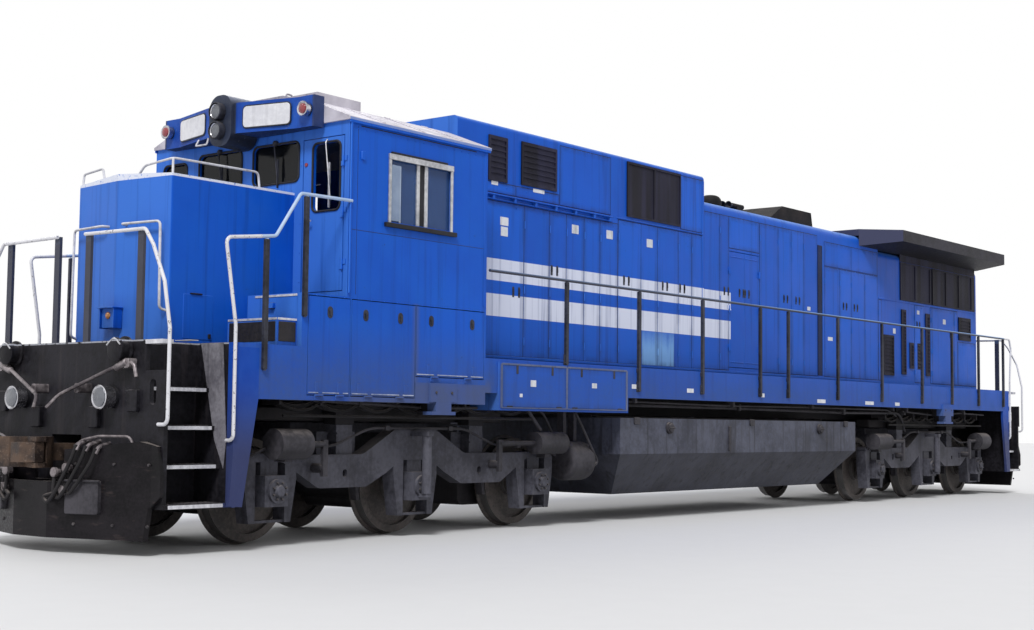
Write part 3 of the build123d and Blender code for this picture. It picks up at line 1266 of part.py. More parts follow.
# Brake gear: cylinders with their rods and levers outside the frames, and a shoe on a hanger at
# each wheel
CYLINDER_Z = RAIL + 960
CYLINDERS = (
    # x of both ends and of the lever from the truck's middle, radius
    (1770, 2180, 1500, 150),
    (-2415, -1890, -1260, 130),
)
ROD_RADIUS = 28
LEVER_HALF = 32
LEVER_THICK = 40
LEVER_Z = (RAIL + 640, RAIL + 1000)
LEVER_PIVOT_Z = RAIL + 720
LEVER_PIVOT_RADIUS = 48
CYLINDER_BRACKET_HALF = 50
CYLINDER_BRACKET_BOTTOM = FRAME_UNDER + 5
SHOE_GAP = 5
SHOE_THICK = 50
SHOE_HEIGHT = 300
SHOE_Y = (722, 810)
SHOES = (
    # x of the axle from the truck's middle, direction to its shoe
    (AXLE_GAP, -1),
    (0, 1),
    (0, -1),
    (-AXLE_GAP, 1),
)
HANGER_BAR = 30
SHOE_HANGER_Z = TRANSOM_Z[0] + HANGER_BAR
SHOE_INNER = WHEEL_RADIUS + SHOE_GAP
SHOE_OUTER = SHOE_INNER + SHOE_THICK
for truck, end in ENDS:
    with BuildPart() as brakes:
        for side in (1, -1):
            for near, far, lever, radius in CYLINDERS:
                y = side * (FRAME_OUTER + SEAT + radius)
                middle_x = end * (TRUCK_X + (near + far) / 2)
                lever_x = end * (TRUCK_X + lever)
                drum((middle_x, y, CYLINDER_Z), (1, 0, 0), radius, abs(far - near))
                rod_middle = ((middle_x + lever_x) / 2, y, CYLINDER_Z)
                drum(rod_middle, (1, 0, 0), ROD_RADIUS, abs(middle_x - lever_x))
                block(about(middle_x, CYLINDER_BRACKET_HALF), toward(side, FRAME_OUTER + SEAT, abs(y)),
                      (CYLINDER_BRACKET_BOTTOM, CYLINDER_Z))
                block(about(lever_x, LEVER_HALF), about(y, LEVER_THICK / 2), LEVER_Z)
                pivot_y = side * (FRAME_OUTER + SEAT + abs(y)) / 2
                drum((lever_x, pivot_y, LEVER_PIVOT_Z), (0, 1, 0), LEVER_PIVOT_RADIUS,
                     abs(y) - FRAME_OUTER - SEAT)
            shoe_y = toward(side, *SHOE_Y)
            for offset, way in SHOES:
                x = end * (TRUCK_X + offset)
                reach = end * way
                with BuildSketch(Plane.XZ.offset(-shoe_y[1])) as outline:
                    with Locations((x, AXLE_Z)):
                        Circle(SHOE_OUTER)
                        Circle(SHOE_INNER, mode=Mode.SUBTRACT)
                    with Locations((x + reach * SHOE_OUTER, AXLE_Z)):
                        Rectangle(SHOE_HEIGHT, SHOE_HEIGHT, mode=Mode.INTERSECT)
                extrude(outline.sketch, amount=shoe_y[1] - shoe_y[0])
                back = x + reach * SHOE_OUTER
                transom = TRANSOM_X[1] if offset else TRANSOM_X[0]
                seat_x = end * (TRUCK_X + math.copysign(transom, offset or way)) - reach * SEAT
                block(sorted((back - reach * HANGER_BAR / 2, back + reach * HANGER_BAR / 2)), shoe_y,
                      (AXLE_Z, SHOE_HANGER_Z + HANGER_BAR))
                block(sorted((back, seat_x)), shoe_y, (SHOE_HANGER_Z, SHOE_HANGER_Z + HANGER_BAR))
    save(brakes, f"{truck}_brake_gear")
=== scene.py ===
"""Six-axle road-switcher diesel locomotive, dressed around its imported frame.

+X is forward, +Y the left side, +Z up, in metres. Heights are written from the rail head and lifted
by RAIL when a mesh is made, because the frame's zero is the lowest point of the wheel flanges.
"""
import math
import bmesh
import bpy
from mathutils import Matrix, Vector


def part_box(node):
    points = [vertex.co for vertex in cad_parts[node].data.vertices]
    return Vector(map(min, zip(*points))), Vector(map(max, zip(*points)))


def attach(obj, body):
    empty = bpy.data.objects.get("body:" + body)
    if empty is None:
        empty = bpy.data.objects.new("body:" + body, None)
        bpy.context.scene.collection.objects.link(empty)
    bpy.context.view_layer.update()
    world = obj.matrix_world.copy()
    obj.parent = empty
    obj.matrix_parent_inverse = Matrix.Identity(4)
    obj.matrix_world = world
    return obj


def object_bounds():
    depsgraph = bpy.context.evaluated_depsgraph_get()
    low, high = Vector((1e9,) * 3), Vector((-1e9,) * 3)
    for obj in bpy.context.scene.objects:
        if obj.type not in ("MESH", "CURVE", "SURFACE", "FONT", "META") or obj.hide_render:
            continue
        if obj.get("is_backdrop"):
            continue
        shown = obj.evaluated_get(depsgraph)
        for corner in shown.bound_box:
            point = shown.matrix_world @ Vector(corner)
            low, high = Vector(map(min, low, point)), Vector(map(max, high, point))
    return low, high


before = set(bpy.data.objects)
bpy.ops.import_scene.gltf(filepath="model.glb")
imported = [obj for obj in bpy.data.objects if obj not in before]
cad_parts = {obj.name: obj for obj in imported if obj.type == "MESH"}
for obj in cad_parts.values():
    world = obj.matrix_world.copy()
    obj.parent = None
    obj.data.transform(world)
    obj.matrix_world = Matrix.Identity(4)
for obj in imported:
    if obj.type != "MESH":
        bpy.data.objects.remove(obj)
CAD_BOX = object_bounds()
RAIL = 0.029
LIFT = Vector((0, 0, RAIL))
BOTH = (1, -1)
SIDES = (("left", 1), ("right", -1))
ENDS = (("front", 1), ("rear", -1))
CORNERS = ((1, 1), (1, -1), (-1, 1), (-1, -1))


# Camera: a hand-held camera at eye height beside the left front corner, with a slightly long lens.
# Its place and aim come from the rail lines and the deck edge; it is turned a little off level.
CAMERA_PLACE = Vector((18.74554, 12.26606, 1.17242 + RAIL))
CAMERA_YAW = 0.67613
CAMERA_PITCH = 0.07177
CAMERA_ROLL = 0.01073
PHOTO_WIDTH = 1034
LENS_IN_PIXELS = 1524.16
SENSOR = 36.0

ahead = Vector((-math.cos(CAMERA_YAW) * math.cos(CAMERA_PITCH),
                -math.sin(CAMERA_YAW) * math.cos(CAMERA_PITCH), math.sin(CAMERA_PITCH)))
level_right = ahead.cross(Vector((0, 0, 1))).normalized()
level_up = level_right.cross(ahead)
right = math.cos(CAMERA_ROLL) * level_right + math.sin(CAMERA_ROLL) * level_up
up = -math.sin(CAMERA_ROLL) * level_right + math.cos(CAMERA_ROLL) * level_up
lens = bpy.data.cameras.new("camera")
lens.sensor_width = SENSOR
lens.lens = LENS_IN_PIXELS * SENSOR / PHOTO_WIDTH
lens.clip_end = 500
camera = bpy.data.objects.new("camera", lens)
camera.matrix_world = Matrix.Translation(CAMERA_PLACE) @ Matrix((right, up, -ahead)).transposed().to_4x4()
bpy.context.scene.collection.objects.link(camera)
bpy.context.scene.camera = camera
bpy.context.scene.view_settings.view_transform = "Standard"


# Trucks: grey-painted steel castings under oil, brake dust and road dirt, lighter where dust settles
# on top of a ledge, with painted shade on the faces that look down. Turned caps on the axle ends are
# bolted on, the brake pipes are clamped to the frame, and the motor leads lie in trays above it.
def made_node(tree, kind, settings=None, inputs=None):
    """Any node of a tree, with its settings first and its inputs after."""
    node = tree.nodes.new(kind)
    for key, value in (settings or {}).items():
        setattr(node, key, value)
    for key, value in (inputs or {}).items():
        if isinstance(value, bpy.types.Node):
            value = value.outputs[0]
        if isinstance(value, bpy.types.NodeSocket):
            tree.links.new(value, node.inputs[key])
        else:
            node.inputs[key].default_value = value
    return node


class Wire:
    """An output of a node in a finish, with the arithmetic that adds Math nodes to it."""

    def __init__(self, finish, node, name=0):
        self.finish = finish
        self.node = node
        self.socket = node.outputs[name]

    def out(self, name):
        return Wire(self.finish, self.node, name)

    def maths(self, operation, *others):
        return self.finish.node("Math", {"operation": operation}, dict(enumerate((self, *others))))

    def __add__(self, other):
        return self.maths("ADD", other)

    def __mul__(self, other):
        return self.maths("MULTIPLY", other)

    def __sub__(self, other):
        return self.maths("SUBTRACT", other)

    def __rsub__(self, other):
        return self * -1 + other

    def size(self):
        return self.maths("ABSOLUTE")

    def step(self, low, high):
        """0 below low, 1 above high, and a soft rise between them."""
        inputs = {"Value": self, "From Min": low, "From Max": high}
        return self.finish.node("MapRange", {"interpolation_type": "SMOOTHSTEP"}, inputs)

    def between(self, low, high, soft=0.004):
        return self.step(low - soft, low + soft) * (1 - self.step(high - soft, high + soft))


class Finish:
    """A procedural material; its z is the height over the rail, and its colour is laid on in coats."""

    def __init__(self, name):
        self.material = bpy.data.materials.new(name)
        self.material.use_nodes = True
        self.tree = self.material.node_tree
        self.tree.nodes.clear()
        self.place = self.node("TexCoord").out("Object")
        split = self.node("SeparateXYZ", None, {0: self.place})
        self.x, self.y, self.z = split.out("X"), split.out("Y"), split.out("Z") - RAIL
        facing = self.node("SeparateXYZ", None, {0: self.node("NewGeometry").out("Normal")})
        self.ahead, self.outward, self.upward = facing.out("X"), facing.out("Y"), facing.out("Z")

    def node(self, kind, settings=None, inputs=None):
        sockets = {key: getattr(value, "socket", value) for key, value in (inputs or {}).items()}
        return Wire(self, made_node(self.tree, "ShaderNode" + kind, settings, sockets))

    def noise(self, scale, detail=4.0, stretch=(1, 1, 1)):
        mapped = self.node("Mapping", None, {"Vector": self.place, "Scale": stretch})
        inputs = {"Vector": mapped, "Scale": scale, "Detail": detail, "Roughness": 0.6}
        return self.node("TexNoise", None, inputs).out("Fac")

    def attribute(self, name):
        return self.node("Attribute", {"attribute_name": name}).out("Fac")

    def mix(self, share, first, second):
        inputs = {0: share, 6: shade(first), 7: shade(second)}
        return self.node("Mix", {"data_type": "RGBA"}, inputs).out(2)

    def base(self, share, dark, light):
        self.colour = self.mix(share, dark, light)

    def coat(self, share, colour):
        self.colour = self.mix(share, self.colour, colour)

    def finished(self, roughness, metallic=0.0, height=None, relief=0.01, specular=0.5, **more):
        inputs = {"Base Color": self.colour, "Roughness": roughness, "Metallic": metallic,
                  "Specular IOR Level": specular, **more}
        if height is not None:
            relief_inputs = {"Strength": 0.6, "Distance": relief, "Height": height}
            inputs["Normal"] = self.node("Bump", None, relief_inputs)
        shader = self.node("BsdfPrincipled", None, inputs)
        made_node(self.tree, "ShaderNodeOutputMaterial", None, {"Surface": shader.socket})
        return self.material


def shade(colour):
    """Three sRGB values up to 255 as the linear colour that a node wants; anything else stays."""
    if isinstance(colour, Wire) or len(colour) == 4:
        return colour
    parts = [value / 255 for value in colour]
    return (*[part / 12.92 if part <= 0.04045 else ((part + 0.055) / 1.055) ** 2.4 for part in parts], 1.0)


def clouded(name, cloud_scale, fine_scale):
    """A finish with the two noises, broad and fine, that most of them mix."""
    finish = Finish(name)
    return finish, finish.noise(cloud_scale), finish.noise(fine_scale)


def dirty_steel(name, dark, light, rough, metallic=0.0, dust=0.5, streaks=0.35):
    """Painted or bare steel with oily patches, run marks, and dust on what faces up; faces that look
    down are darkened as painted shade.
    """
    finish, cloud, fine = clouded(name, 1.7, 22.0)
    run = finish.noise(5.0, 3.0, (2.2, 2.2, 0.16))
    finish.base((cloud * 0.6 + fine * 0.4).step(0.36, 0.64), dark, light)
    finish.coat(run.step(0.52, 0.72) * streaks, (30, 28, 30))
    settled = finish.upward.step(0.35, 0.95) * (fine * 0.5 + cloud * 0.5).step(0.3, 0.62)
    finish.coat(settled * dust, (138, 130, 126))
    # Painted shade: faces that look down are darkened.
    finish.coat((finish.upward * -1).step(0.12, 0.6) * 0.45, (30, 29, 34))
    return finish.finished(fine.step(0.25, 0.75) * 0.22 + rough, metallic, fine, 0.004, 0.3)


def dress(material, *nodes):
    """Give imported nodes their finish."""
    for node in nodes:
        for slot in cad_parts[node].material_slots:
            slot.material = material


truck_paint = dirty_steel("truck_casting", (50, 50, 58), (86, 86, 96), 0.55)
gear_paint = dirty_steel("brake_gear_iron", (38, 37, 42), (70, 68, 74), 0.6)
motor_paint = dirty_steel("motor_case_iron", (30, 29, 32), (52, 50, 54), 0.65)
bolt_iron = dirty_steel("bolt_iron", (44, 42, 46), (92, 88, 90), 0.5, 0.3)
for end, _ in ENDS:
    dress(truck_paint, f"{end}_truck_frame", f"{end}_journal_boxes")
    dress(gear_paint, f"{end}_brake_gear")
    dress(motor_paint, f"{end}_traction_motors")


def spot(place, outward, upward=(0, 0, 1)):
    """A place on a face: seen from outside, x runs to the right along it, y up it and z out of it."""
    outward = Vector(outward).normalized()
    across = Vector(upward).cross(outward).normalized()
    turned = Matrix((across, outward.cross(across), outward)).transposed().to_4x4()
    return Matrix.Translation(place) @ turned


def on_side(x, y, z, side):
    return spot((x, side * y, z), (0, side, 0))


def rounded(width, height, corner, steps=3):
    """Outline of a rectangle with round corners, anticlockwise around its middle."""
    points = []
    for turn, (sx, sy) in enumerate(((1, 1), (-1, 1), (-1, -1), (1, -1))):
        for step in range(steps + 1):
            angle = (turn + step / steps) * math.pi / 2
            points.append((sx * (width / 2 - corner) + corner * math.cos(angle),
                           sy * (height / 2 - corner) + corner * math.sin(angle)))
    return points


def circle(radius, sides, phase=0.0):
    angles = [phase + 2 * math.pi * i / sides for i in range(sides)]
    return [(radius * math.cos(angle), radius * math.sin(angle)) for angle in angles]


def softened(points, bend, steps=4):
    """A line of straight runs with its corners rounded by up to the bend given."""
    points = [Vector(point) for point in points]
    line = [points[0]]
    for before, corner, after in zip(points, points[1:], points[2:]):
        reach = min(bend, (before - corner).length * 0.45, (after - corner).length * 0.45)
        first = corner + (before - corner).normalized() * reach
        last = corner + (after - corner).normalized() * reach
        for step in range(steps + 1):
            share = step / steps
            line.append(first.lerp(corner, share).lerp(corner.lerp(last, share), share))
    return line + [points[-1]]


def riding(name, data, body):
    """Stand a finished mesh in the scene, riding on a body."""
    piece = bpy.data.objects.new(name, data)
    bpy.context.scene.collection.objects.link(piece)
    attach(piece, body)
    return piece


class Stock:
    """Fittings of one make and colour, gathered into one mesh that rides on one body."""

    def __init__(self, name, material, slot, body="carbody"):
        self.name = name
        self.material = material
        self.slot = slot
        self.body = body
        self.mesh = bmesh.new()

    def ring(self, seat, outline, depth):
        return [self.mesh.verts.new(seat @ Vector((x, y, depth)) + LIFT) for x, y in outline]

    def skin(self, rings):
        for low, high in zip(rings, rings[1:]):
            for i in range(len(low)):
                j = (i + 1) % len(low)
                self.mesh.faces.new((low[i], low[j], high[j], high[i]))
        self.mesh.faces.new(reversed(rings[0]))
        self.mesh.faces.new(rings[-1])

    def plate(self, seat, width, height, thick, corner=0.01, chamfer=0.002, sunk=0.0, border=0.0, tone=0.0):
        """A plate with round corners and a chamfered front edge; a border wide enough gathers grime."""
        corner = max(min(corner, width / 2 - 0.0005, height / 2 - 0.0005), chamfer + 0.0002)
        outline = rounded(width, height, corner)
        inner = rounded(width - 2 * chamfer, height - 2 * chamfer, corner - chamfer)
        layers = self.mesh.verts.layers.float
        if border:
            grime, leaf = [layers.get(name) or layers.new(name) for name in ("grime", "tone")]
        rings = [self.ring(seat, outline, -sunk), self.ring(seat, outline, thick - chamfer),
                 self.ring(seat, inner, thick)]
        if border:
            border = min(border, width / 3, height / 3)
            middle = rounded(width - 2 * border, height - 2 * border, min(corner, width / 7, height / 7))
            rings.append(self.ring(seat, middle, thick))
            for number, ring in enumerate(rings):
                for vert in ring:
                    vert[grime] = 0.0 if number == 3 else 1.0
                    vert[leaf] = tone
        self.skin(rings)

    def bars(self, y, *rows):
        """Plates on both side walls; a row gives x, z, width, height, thickness and corner."""
        for side in BOTH:
            for x, z, *sizes in rows:
                self.plate(on_side(x, y, z, side), *sizes)

    def turned(self, seat, profile, sides=20):
        """A turned shape: its profile gives depth and radius from the back to the front."""
        self.skin([self.ring(seat, circle(radius, sides), depth) for depth, radius in profile])

    def run(self, points, section, bend=0.03, steps=4):
        """A bar or pipe of one section along a line with rounded corners."""
        line = softened(points, bend, steps)
        side = None
        rings = []
        for index, point in enumerate(line):
            along = (line[min(index + 1, len(line) - 1)] - line[max(index - 1, 0)]).normalized()
            if side is None:
                side = Vector((0, 0, 1)) if abs(along.z) < 0.9 else Vector((1, 0, 0))
            side = (side - along * side.dot(along)).normalized()
            other = along.cross(side)
            rings.append([self.mesh.verts.new(point + side * x + other * y + LIFT) for x, y in section])
        self.skin(rings)

    def pipe(self, points, radius, sides=8, bend=0.04, steps=4):
        self.run(points, circle(radius, sides), bend, steps)

    def placed(self):
        data = bpy.data.meshes.new(self.name)
        self.mesh.to_mesh(data)
        self.mesh.free()
        data.materials.append(self.material)
        data.polygons.foreach_set("use_smooth", [True] * len(data.polygons))
        data.set_sharp_from_angle(angle=math.radians(35))
        riding(self.name, data, self.body)


def place_all(*stocks):
    for stock in stocks:
        stock.placed()


def started_tree(name, inputs):
    """A Geometry Nodes tree with its named inputs, and the outlets that give them."""
    tree = bpy.data.node_groups.new(name, "GeometryNodeTree")
    tree.interface.new_socket("Geometry", in_out="OUTPUT", socket_type="NodeSocketGeometry")
    for label, kind in inputs.items():
        tree.interface.new_socket(label, in_out="INPUT", socket_type="NodeSocket" + kind)
    return tree, made_node(tree, "NodeGroupInput").outputs


def closed_tree(tree, instances, material):
    """End a tree by making its instances real and giving them their material."""
    real = made_node(tree, "GeometryNodeRealizeInstances", None, {"Geometry": instances})
    done = made_node(tree, "GeometryNodeSetMaterial", None, {"Geometry": real, "Material": material})
    made_node(tree, "NodeGroupOutput", None, {0: done})


HEADS, given = started_tree("bolt_heads", {
    "Points": "Geometry", "Head radius": "Float", "Head height": "Float", "Sides": "Int",
    "Finish": "Material"})
narrow = made_node(HEADS, "ShaderNodeMath", {"operation": "MULTIPLY"}, {0: given["Head radius"], 1: 0.82})
head = made_node(HEADS, "GeometryNodeMeshCone", {"fill_type": "NGON"},
                 {"Vertices": given["Sides"], "Radius Top": narrow, "Radius Bottom": given["Head radius"],
                  "Depth": given["Head height"]})
facing = made_node(HEADS, "GeometryNodeInputNamedAttribute", {"data_type": "FLOAT_VECTOR"},
                   {"Name": "facing"})
turned = made_node(HEADS, "FunctionNodeAlignRotationToVector", {"axis": "Z"}, {"Vector": facing})
heads = made_node(HEADS, "GeometryNodeInstanceOnPoints", None,
                  {"Points": given["Points"], "Instance": head, "Rotation": turned})
closed_tree(HEADS, heads, given["Finish"])


def grown(name, tree, data, values, body):
    """Run a Geometry Nodes tree on a mesh, keep its result as a plain mesh, and let it ride."""
    seed = bpy.data.objects.new(name + "_seed", data)
    bpy.context.scene.collection.objects.link(seed)
    modifier = seed.modifiers.new("grown", "NODES")
    modifier.node_group = tree
    sockets = {item.name: item.identifier for item in tree.interface.items_tree if item.in_out == "INPUT"}
    for label, value in values.items():
        modifier[sockets[label]] = value
    ready = seed.evaluated_get(bpy.context.evaluated_depsgraph_get())
    result = bpy.data.meshes.new_from_object(ready)
    result.name = name
    bpy.data.objects.remove(seed)
    riding(name, result, body)


def bolts(name, spots, radius, height, material, body="carbody", sides=6):
    """Bolt heads at a list of (place, facing)."""
    data = bpy.data.meshes.new(name + "_points")
    data.from_pydata([Vector(place) + LIFT for place, _ in spots], [], [])
    facing = data.attributes.new("facing", "FLOAT_VECTOR", "POINT")
    facing.data.foreach_set("vector", [value for _, way in spots for value in Vector(way).normalized()])
    grown(name, HEADS, data, {"Head radius": radius, "Head height": height, "Sides": sides,
                              "Finish": material}, body)


TRUCK_X = 6.604
AXLE_GAP = 2.07
AXLE_Z = 0.508
CAP_FACE = 1.28
CAP_BOLT_CIRCLE = 0.085
BRAKE_PIPE = (
    # distance along the truck, height
    (-2.42, 0.81), (-2.1, 0.95), (-1.3, 0.93), (-0.75, 1.12), (0.75, 1.12), (1.3, 0.93), (2.1, 0.95),
    (2.4, 0.83))
for end, e in ENDS:
    body = f"{end}_truck"
    middle = e * TRUCK_X
    caps = Stock(f"{body}_axle_caps", truck_paint, "truck_grime", body)
    lines = Stock(f"{body}_brake_pipes", gear_paint, "truck_grime", body)
    trays = Stock(f"{body}_lead_trays", gear_paint, "truck_grime", body)
    cap_bolts = []
    for side in BOTH:
        for axle in (-1, 0, 1):
            seat = on_side(middle + axle * AXLE_GAP, CAP_FACE, AXLE_Z, side)
            caps.turned(seat, ((0, 0.066), (0.012, 0.066), (0.018, 0.058), (0.03, 0.05), (0.034, 0.03)), 24)
            cap_bolts += [(seat @ Vector((x, y, 0.008)), (0, side, 0))
                          for x, y in circle(CAP_BOLT_CIRCLE, 8, math.pi / 8)]
        lines.pipe([(middle + along, side * 1.19, z) for along, z in BRAKE_PIPE], 0.014, 8, 0.12)
        for along, z in ((-1.7, 0.93), (-0.5, 1.12), (0.5, 1.12), (1.7, 0.93)):
            lines.plate(on_side(middle + along, 1.17, z, side), 0.07, 0.05, 0.045, 0.01)
    for along, length in ((-1.16, 1.38), (0.96, 0.98)):
        trays.plate(on_side(middle + e * along, 0, 1.142, 1), length, 0.18, 0.03, 0.03, 0.006)
    place_all(caps, lines, trays)
    bolts(f"{body}_cap_bolts", cap_bolts, 0.013, 0.018, bolt_iron, body)


# Wheelsets: rolled steel wheels pressed on an axle, brown-grey on the webs and bright on the tread,
# where the rail and the brake shoes polish them.
finish, cloud, fine = clouded("rolled_wheel_steel", 3.0, 26.0)
polish = finish.y.size().between(0.703, 0.822, 0.006) * (1 - finish.outward.size().step(0.4, 0.7))
finish.base((cloud * 0.5 + fine * 0.5).step(0.35, 0.65), (50, 46, 46), (86, 79, 76))
finish.coat(polish, (150, 148, 148))
wheel_steel = finish.finished(0.68 - polish * 0.4, polish * 0.9, fine, 0.003)
for end, _ in ENDS:
    dress(wheel_steel, *[f"{end}_wheelset_{axle}" for axle in ("outer", "middle", "inner")])


# Underframe: welded plate girders with a chequered walkway on top; the sills carry the body colour
# under road dust, everything inside them is black, and cast jacking pads are bolted to the sills.
# Air pipes and motor cables are clamped below the deck.
def blue_paint(name, marks=(), faded=(), dusty=0.5, deck=False, black_inside=None, crest=None, grimed=()):
    """Body blue over steel plate: sun-faded, with rain marks down the walls and black dust low down.
    Faces turned forward and faces turned up get painted light, a paler blue.

    Stripes (marks), faded and grimed zones are lists of (x low, x high, z low, z high)."""
    finish = Finish(name)
    cloud = finish.noise(0.55)
    patch = finish.noise(2.6)
    fine = finish.noise(30.0)
    run = finish.noise(4.0, 4.0, (3.0, 3.0, 0.10))
    height = finish.z
    finish.base(cloud.step(0.3, 0.7), (6, 76, 182), (12, 86, 198))
    finish.coat(patch.step(0.35, 0.75) * 0.3, (34, 100, 196))
    # Painted light: faces turned forward and faces turned up are laid paler.
    finish.coat(finish.ahead.step(0.55, 0.95) * 0.45, (84, 140, 226))
    finish.coat(finish.upward.step(0.3, 0.9) * 0.5, (112, 158, 222))
    finish.coat(finish.attribute("tone") * 0.5, (22, 100, 216))
    for low_x, high_x, low_z, high_z in faded:
        inside = finish.x.between(low_x, high_x) * height.between(low_z, high_z)
        ragged = (height + run * -0.5 + fine * -0.1).step(low_z - 0.12, low_z + 0.22)
        finish.coat(inside * (1 - ragged * 0.75) * 0.85, (128, 178, 234))
    for low_x, high_x, low_z, high_z in marks:
        inside = finish.x.between(low_x, high_x, 0.002) * height.between(low_z, high_z, 0.002)
        off_white = finish.mix(run.step(0.45, 0.75) * 0.14, (214, 220, 240), (160, 168, 196))
        finish.coat(inside * finish.outward.size().step(0.6, 0.9), off_white)
    finish.coat(run.step(0.50, 0.74) * 0.4, (12, 50, 124))
    finish.coat(finish.attribute("grime") * (patch * 0.5 + run * 0.5).step(0.3, 0.62) * 0.5, (26, 46, 96))
    low = 1 - height.step(1.5, 2.3)
    finish.coat(low * (patch * 0.5 + fine * 0.5) * dusty * 1.2, (66, 82, 122))
    for low_x, high_x, low_z, high_z in grimed:
        inside = finish.x.between(low_x, high_x, 0.05) * height.between(low_z, high_z, 0.08)
        finish.coat(inside * (patch * 0.4 + 0.5), (78, 88, 120))
    finish.coat((fine * 0.45 + patch * 0.55).step(0.63, 0.72) * 0.5, (50, 44, 66))
    # Nose top edges: a pale chipped band, part bare worn paint and part a painted highlight of the edge.
    if crest:
        worn_and_lit_edge = height.step(crest[0], crest[0] + 0.006) * (1 - height.step(crest[1], crest[1] + 0.01))
        finish.coat(worn_and_lit_edge * fine.step(0.28, 0.44) * 0.95, (222, 226, 238))
    if deck:
        flat = finish.upward.size().step(0.5, 0.8) * (1 - height.step(2.5, 2.6))
        finish.coat(flat, finish.mix(patch, (56, 58, 66), (86, 88, 98)))
    if black_inside:
        inside = 1 - finish.y.size().step(black_inside - 0.01, black_inside)
        finish.coat(inside, finish.mix(patch, (20, 19, 22), (42, 40, 44)))
    gloss = patch.step(0.3, 0.8) * 0.16 + 0.38 + low * 0.2
    return finish.finished(gloss, 0.0, cloud * 0.8 + fine * 0.1, 0.012, 0.17)


pocket_iron = dirty_steel("draft_pocket_iron", (26, 25, 28), (50, 47, 50), 0.6)
plain_white = dirty_steel("blank_plate_enamel", (196, 200, 210), (222, 224, 230), 0.4, dust=0.2)
rubber = dirty_steel("hose_rubber", (22, 21, 23), (44, 42, 44), 0.7, dust=0.6)
dress(blue_paint("sill_blue", dusty=0.9, deck=True, black_inside=1.425,
                 grimed=((5.8, 7.1, 1.2, 1.62), (-6.83, -6.38, 1.2, 1.5))), "underframe")
dress(pocket_iron, "draft_pockets")
WALL = 1.52
bolts("jack_pad_bolts", [((e * TRUCK_X + offset, side * 1.55, 1.50), (0, side, 0))
                         for e, side in CORNERS for offset in (-0.125, 0.125)],
      0.017, 0.005, bolt_iron)
sill_plates = Stock("sill_plates", plain_white, "white_paint")
sill_plates.bars(WALL, *[(x, z, wide, 0.055, 0.003, 0.004, 0.001) for x, wide, z in (
    (-1.96, 0.26, 1.57), (-3.58, 0.30, 1.57), (-4.60, 0.17, 1.57), (3.0, 0.11, 1.66), (1.7, 0.16, 1.64),
    (-0.2, 0.1, 1.62))])
UNDER_PIPES = (
    # y, z, radius and the stations of its x run with drops
    (1.30, 1.43, 0.022, ((8.3, 0), (7.2, -0.02), (5.4, 0), (4.95, 0), (4.62, -0.32))),
    (1.22, 1.34, 0.016, ((8.2, 0.05), (6.4, 0.0), (5.2, 0.02), (4.5, 0.02), (4.3, -0.25))),
    (1.36, 1.475, 0.012, ((2.9, 0), (0.5, -0.015), (-1.8, 0), (-4.6, 0), (-4.9, -0.1))),
    (1.28, 1.43, 0.02, ((3.0, 0), (0.2, 0), (-3.0, -0.02), (-5.2, 0), (-5.4, -0.3))),
    (1.33, 1.46, 0.014, ((-5.2, 0), (-6.5, -0.05), (-7.6, 0), (-8.7, -0.02))),
)


def on_top(x, y, z):
    return spot((x, y, z), (0, 0, 1), (0, 1, 0))


plumbing = Stock("underframe_pipes", gear_paint, "grimy_steel")
for y, z, radius, stations in UNDER_PIPES:
    for side in BOTH:
        plumbing.pipe([(x, side * y, z + drop) for x, drop in stations], radius, 8, 0.15)
        for x, drop in stations[:-1]:
            plumbing.plate(on_top(x - 0.1, side * y, z + drop - radius * 1.5), 0.05, 0.11, 0.09, 0.008)
looms = Stock("motor_cable_looms", rubber, "black_paint")
ducts = Stock("motor_air_ducts", pocket_iron, "black_paint")
CLAMP_GAP = 0.55
CLAMPS = [4.78 + CLAMP_GAP * count for count in range(8)]
LOOMS = ((1.02, 1.40, 0.05), (1.08, 1.37, 0.07), (1.14, 1.385, 0.055), (1.20, 1.36, 0.075))
for e, side in CORNERS:
    ducts.plate(spot((e * 6.90, side * 0.78, 1.315), (0, 0, -1), (0, 1, 0)), 4.1, 0.24, 0.128, 0.03, 0.01)
    for y, high, sag in LOOMS:
        line = [(e * (x + CLAMP_GAP * share), side * y, high - sag * 4 * share * (1 - share))
                for x in CLAMPS[:-1] for share in (0.0, 0.25, 0.5, 0.75)]
        looms.pipe(line + [(e * CLAMPS[-1], side * y, high)], 0.017, 6, 0.02, 1)
    for x in CLAMPS:
        ducts.plate(spot((e * x, side * 1.11, 1.40), (1, 0, 0)), 0.26, 0.12, 0.03, 0.01)
    looms.pipe([(e * 4.75, side * 1.29, 1.235), (e * 8.66, side * 1.29, 1.235)], 0.014, 8)
place_all(sill_plates, plumbing, looms, ducts)


# Fuel tank: welded plate with sloped lower sides, painted grey and streaked by spilled oil; a filler,
# a sight glass and lifting lugs are on each side.
def on_end(x, y, z, e=1):
    return spot((e * x, y, z), (e, 0, 0))


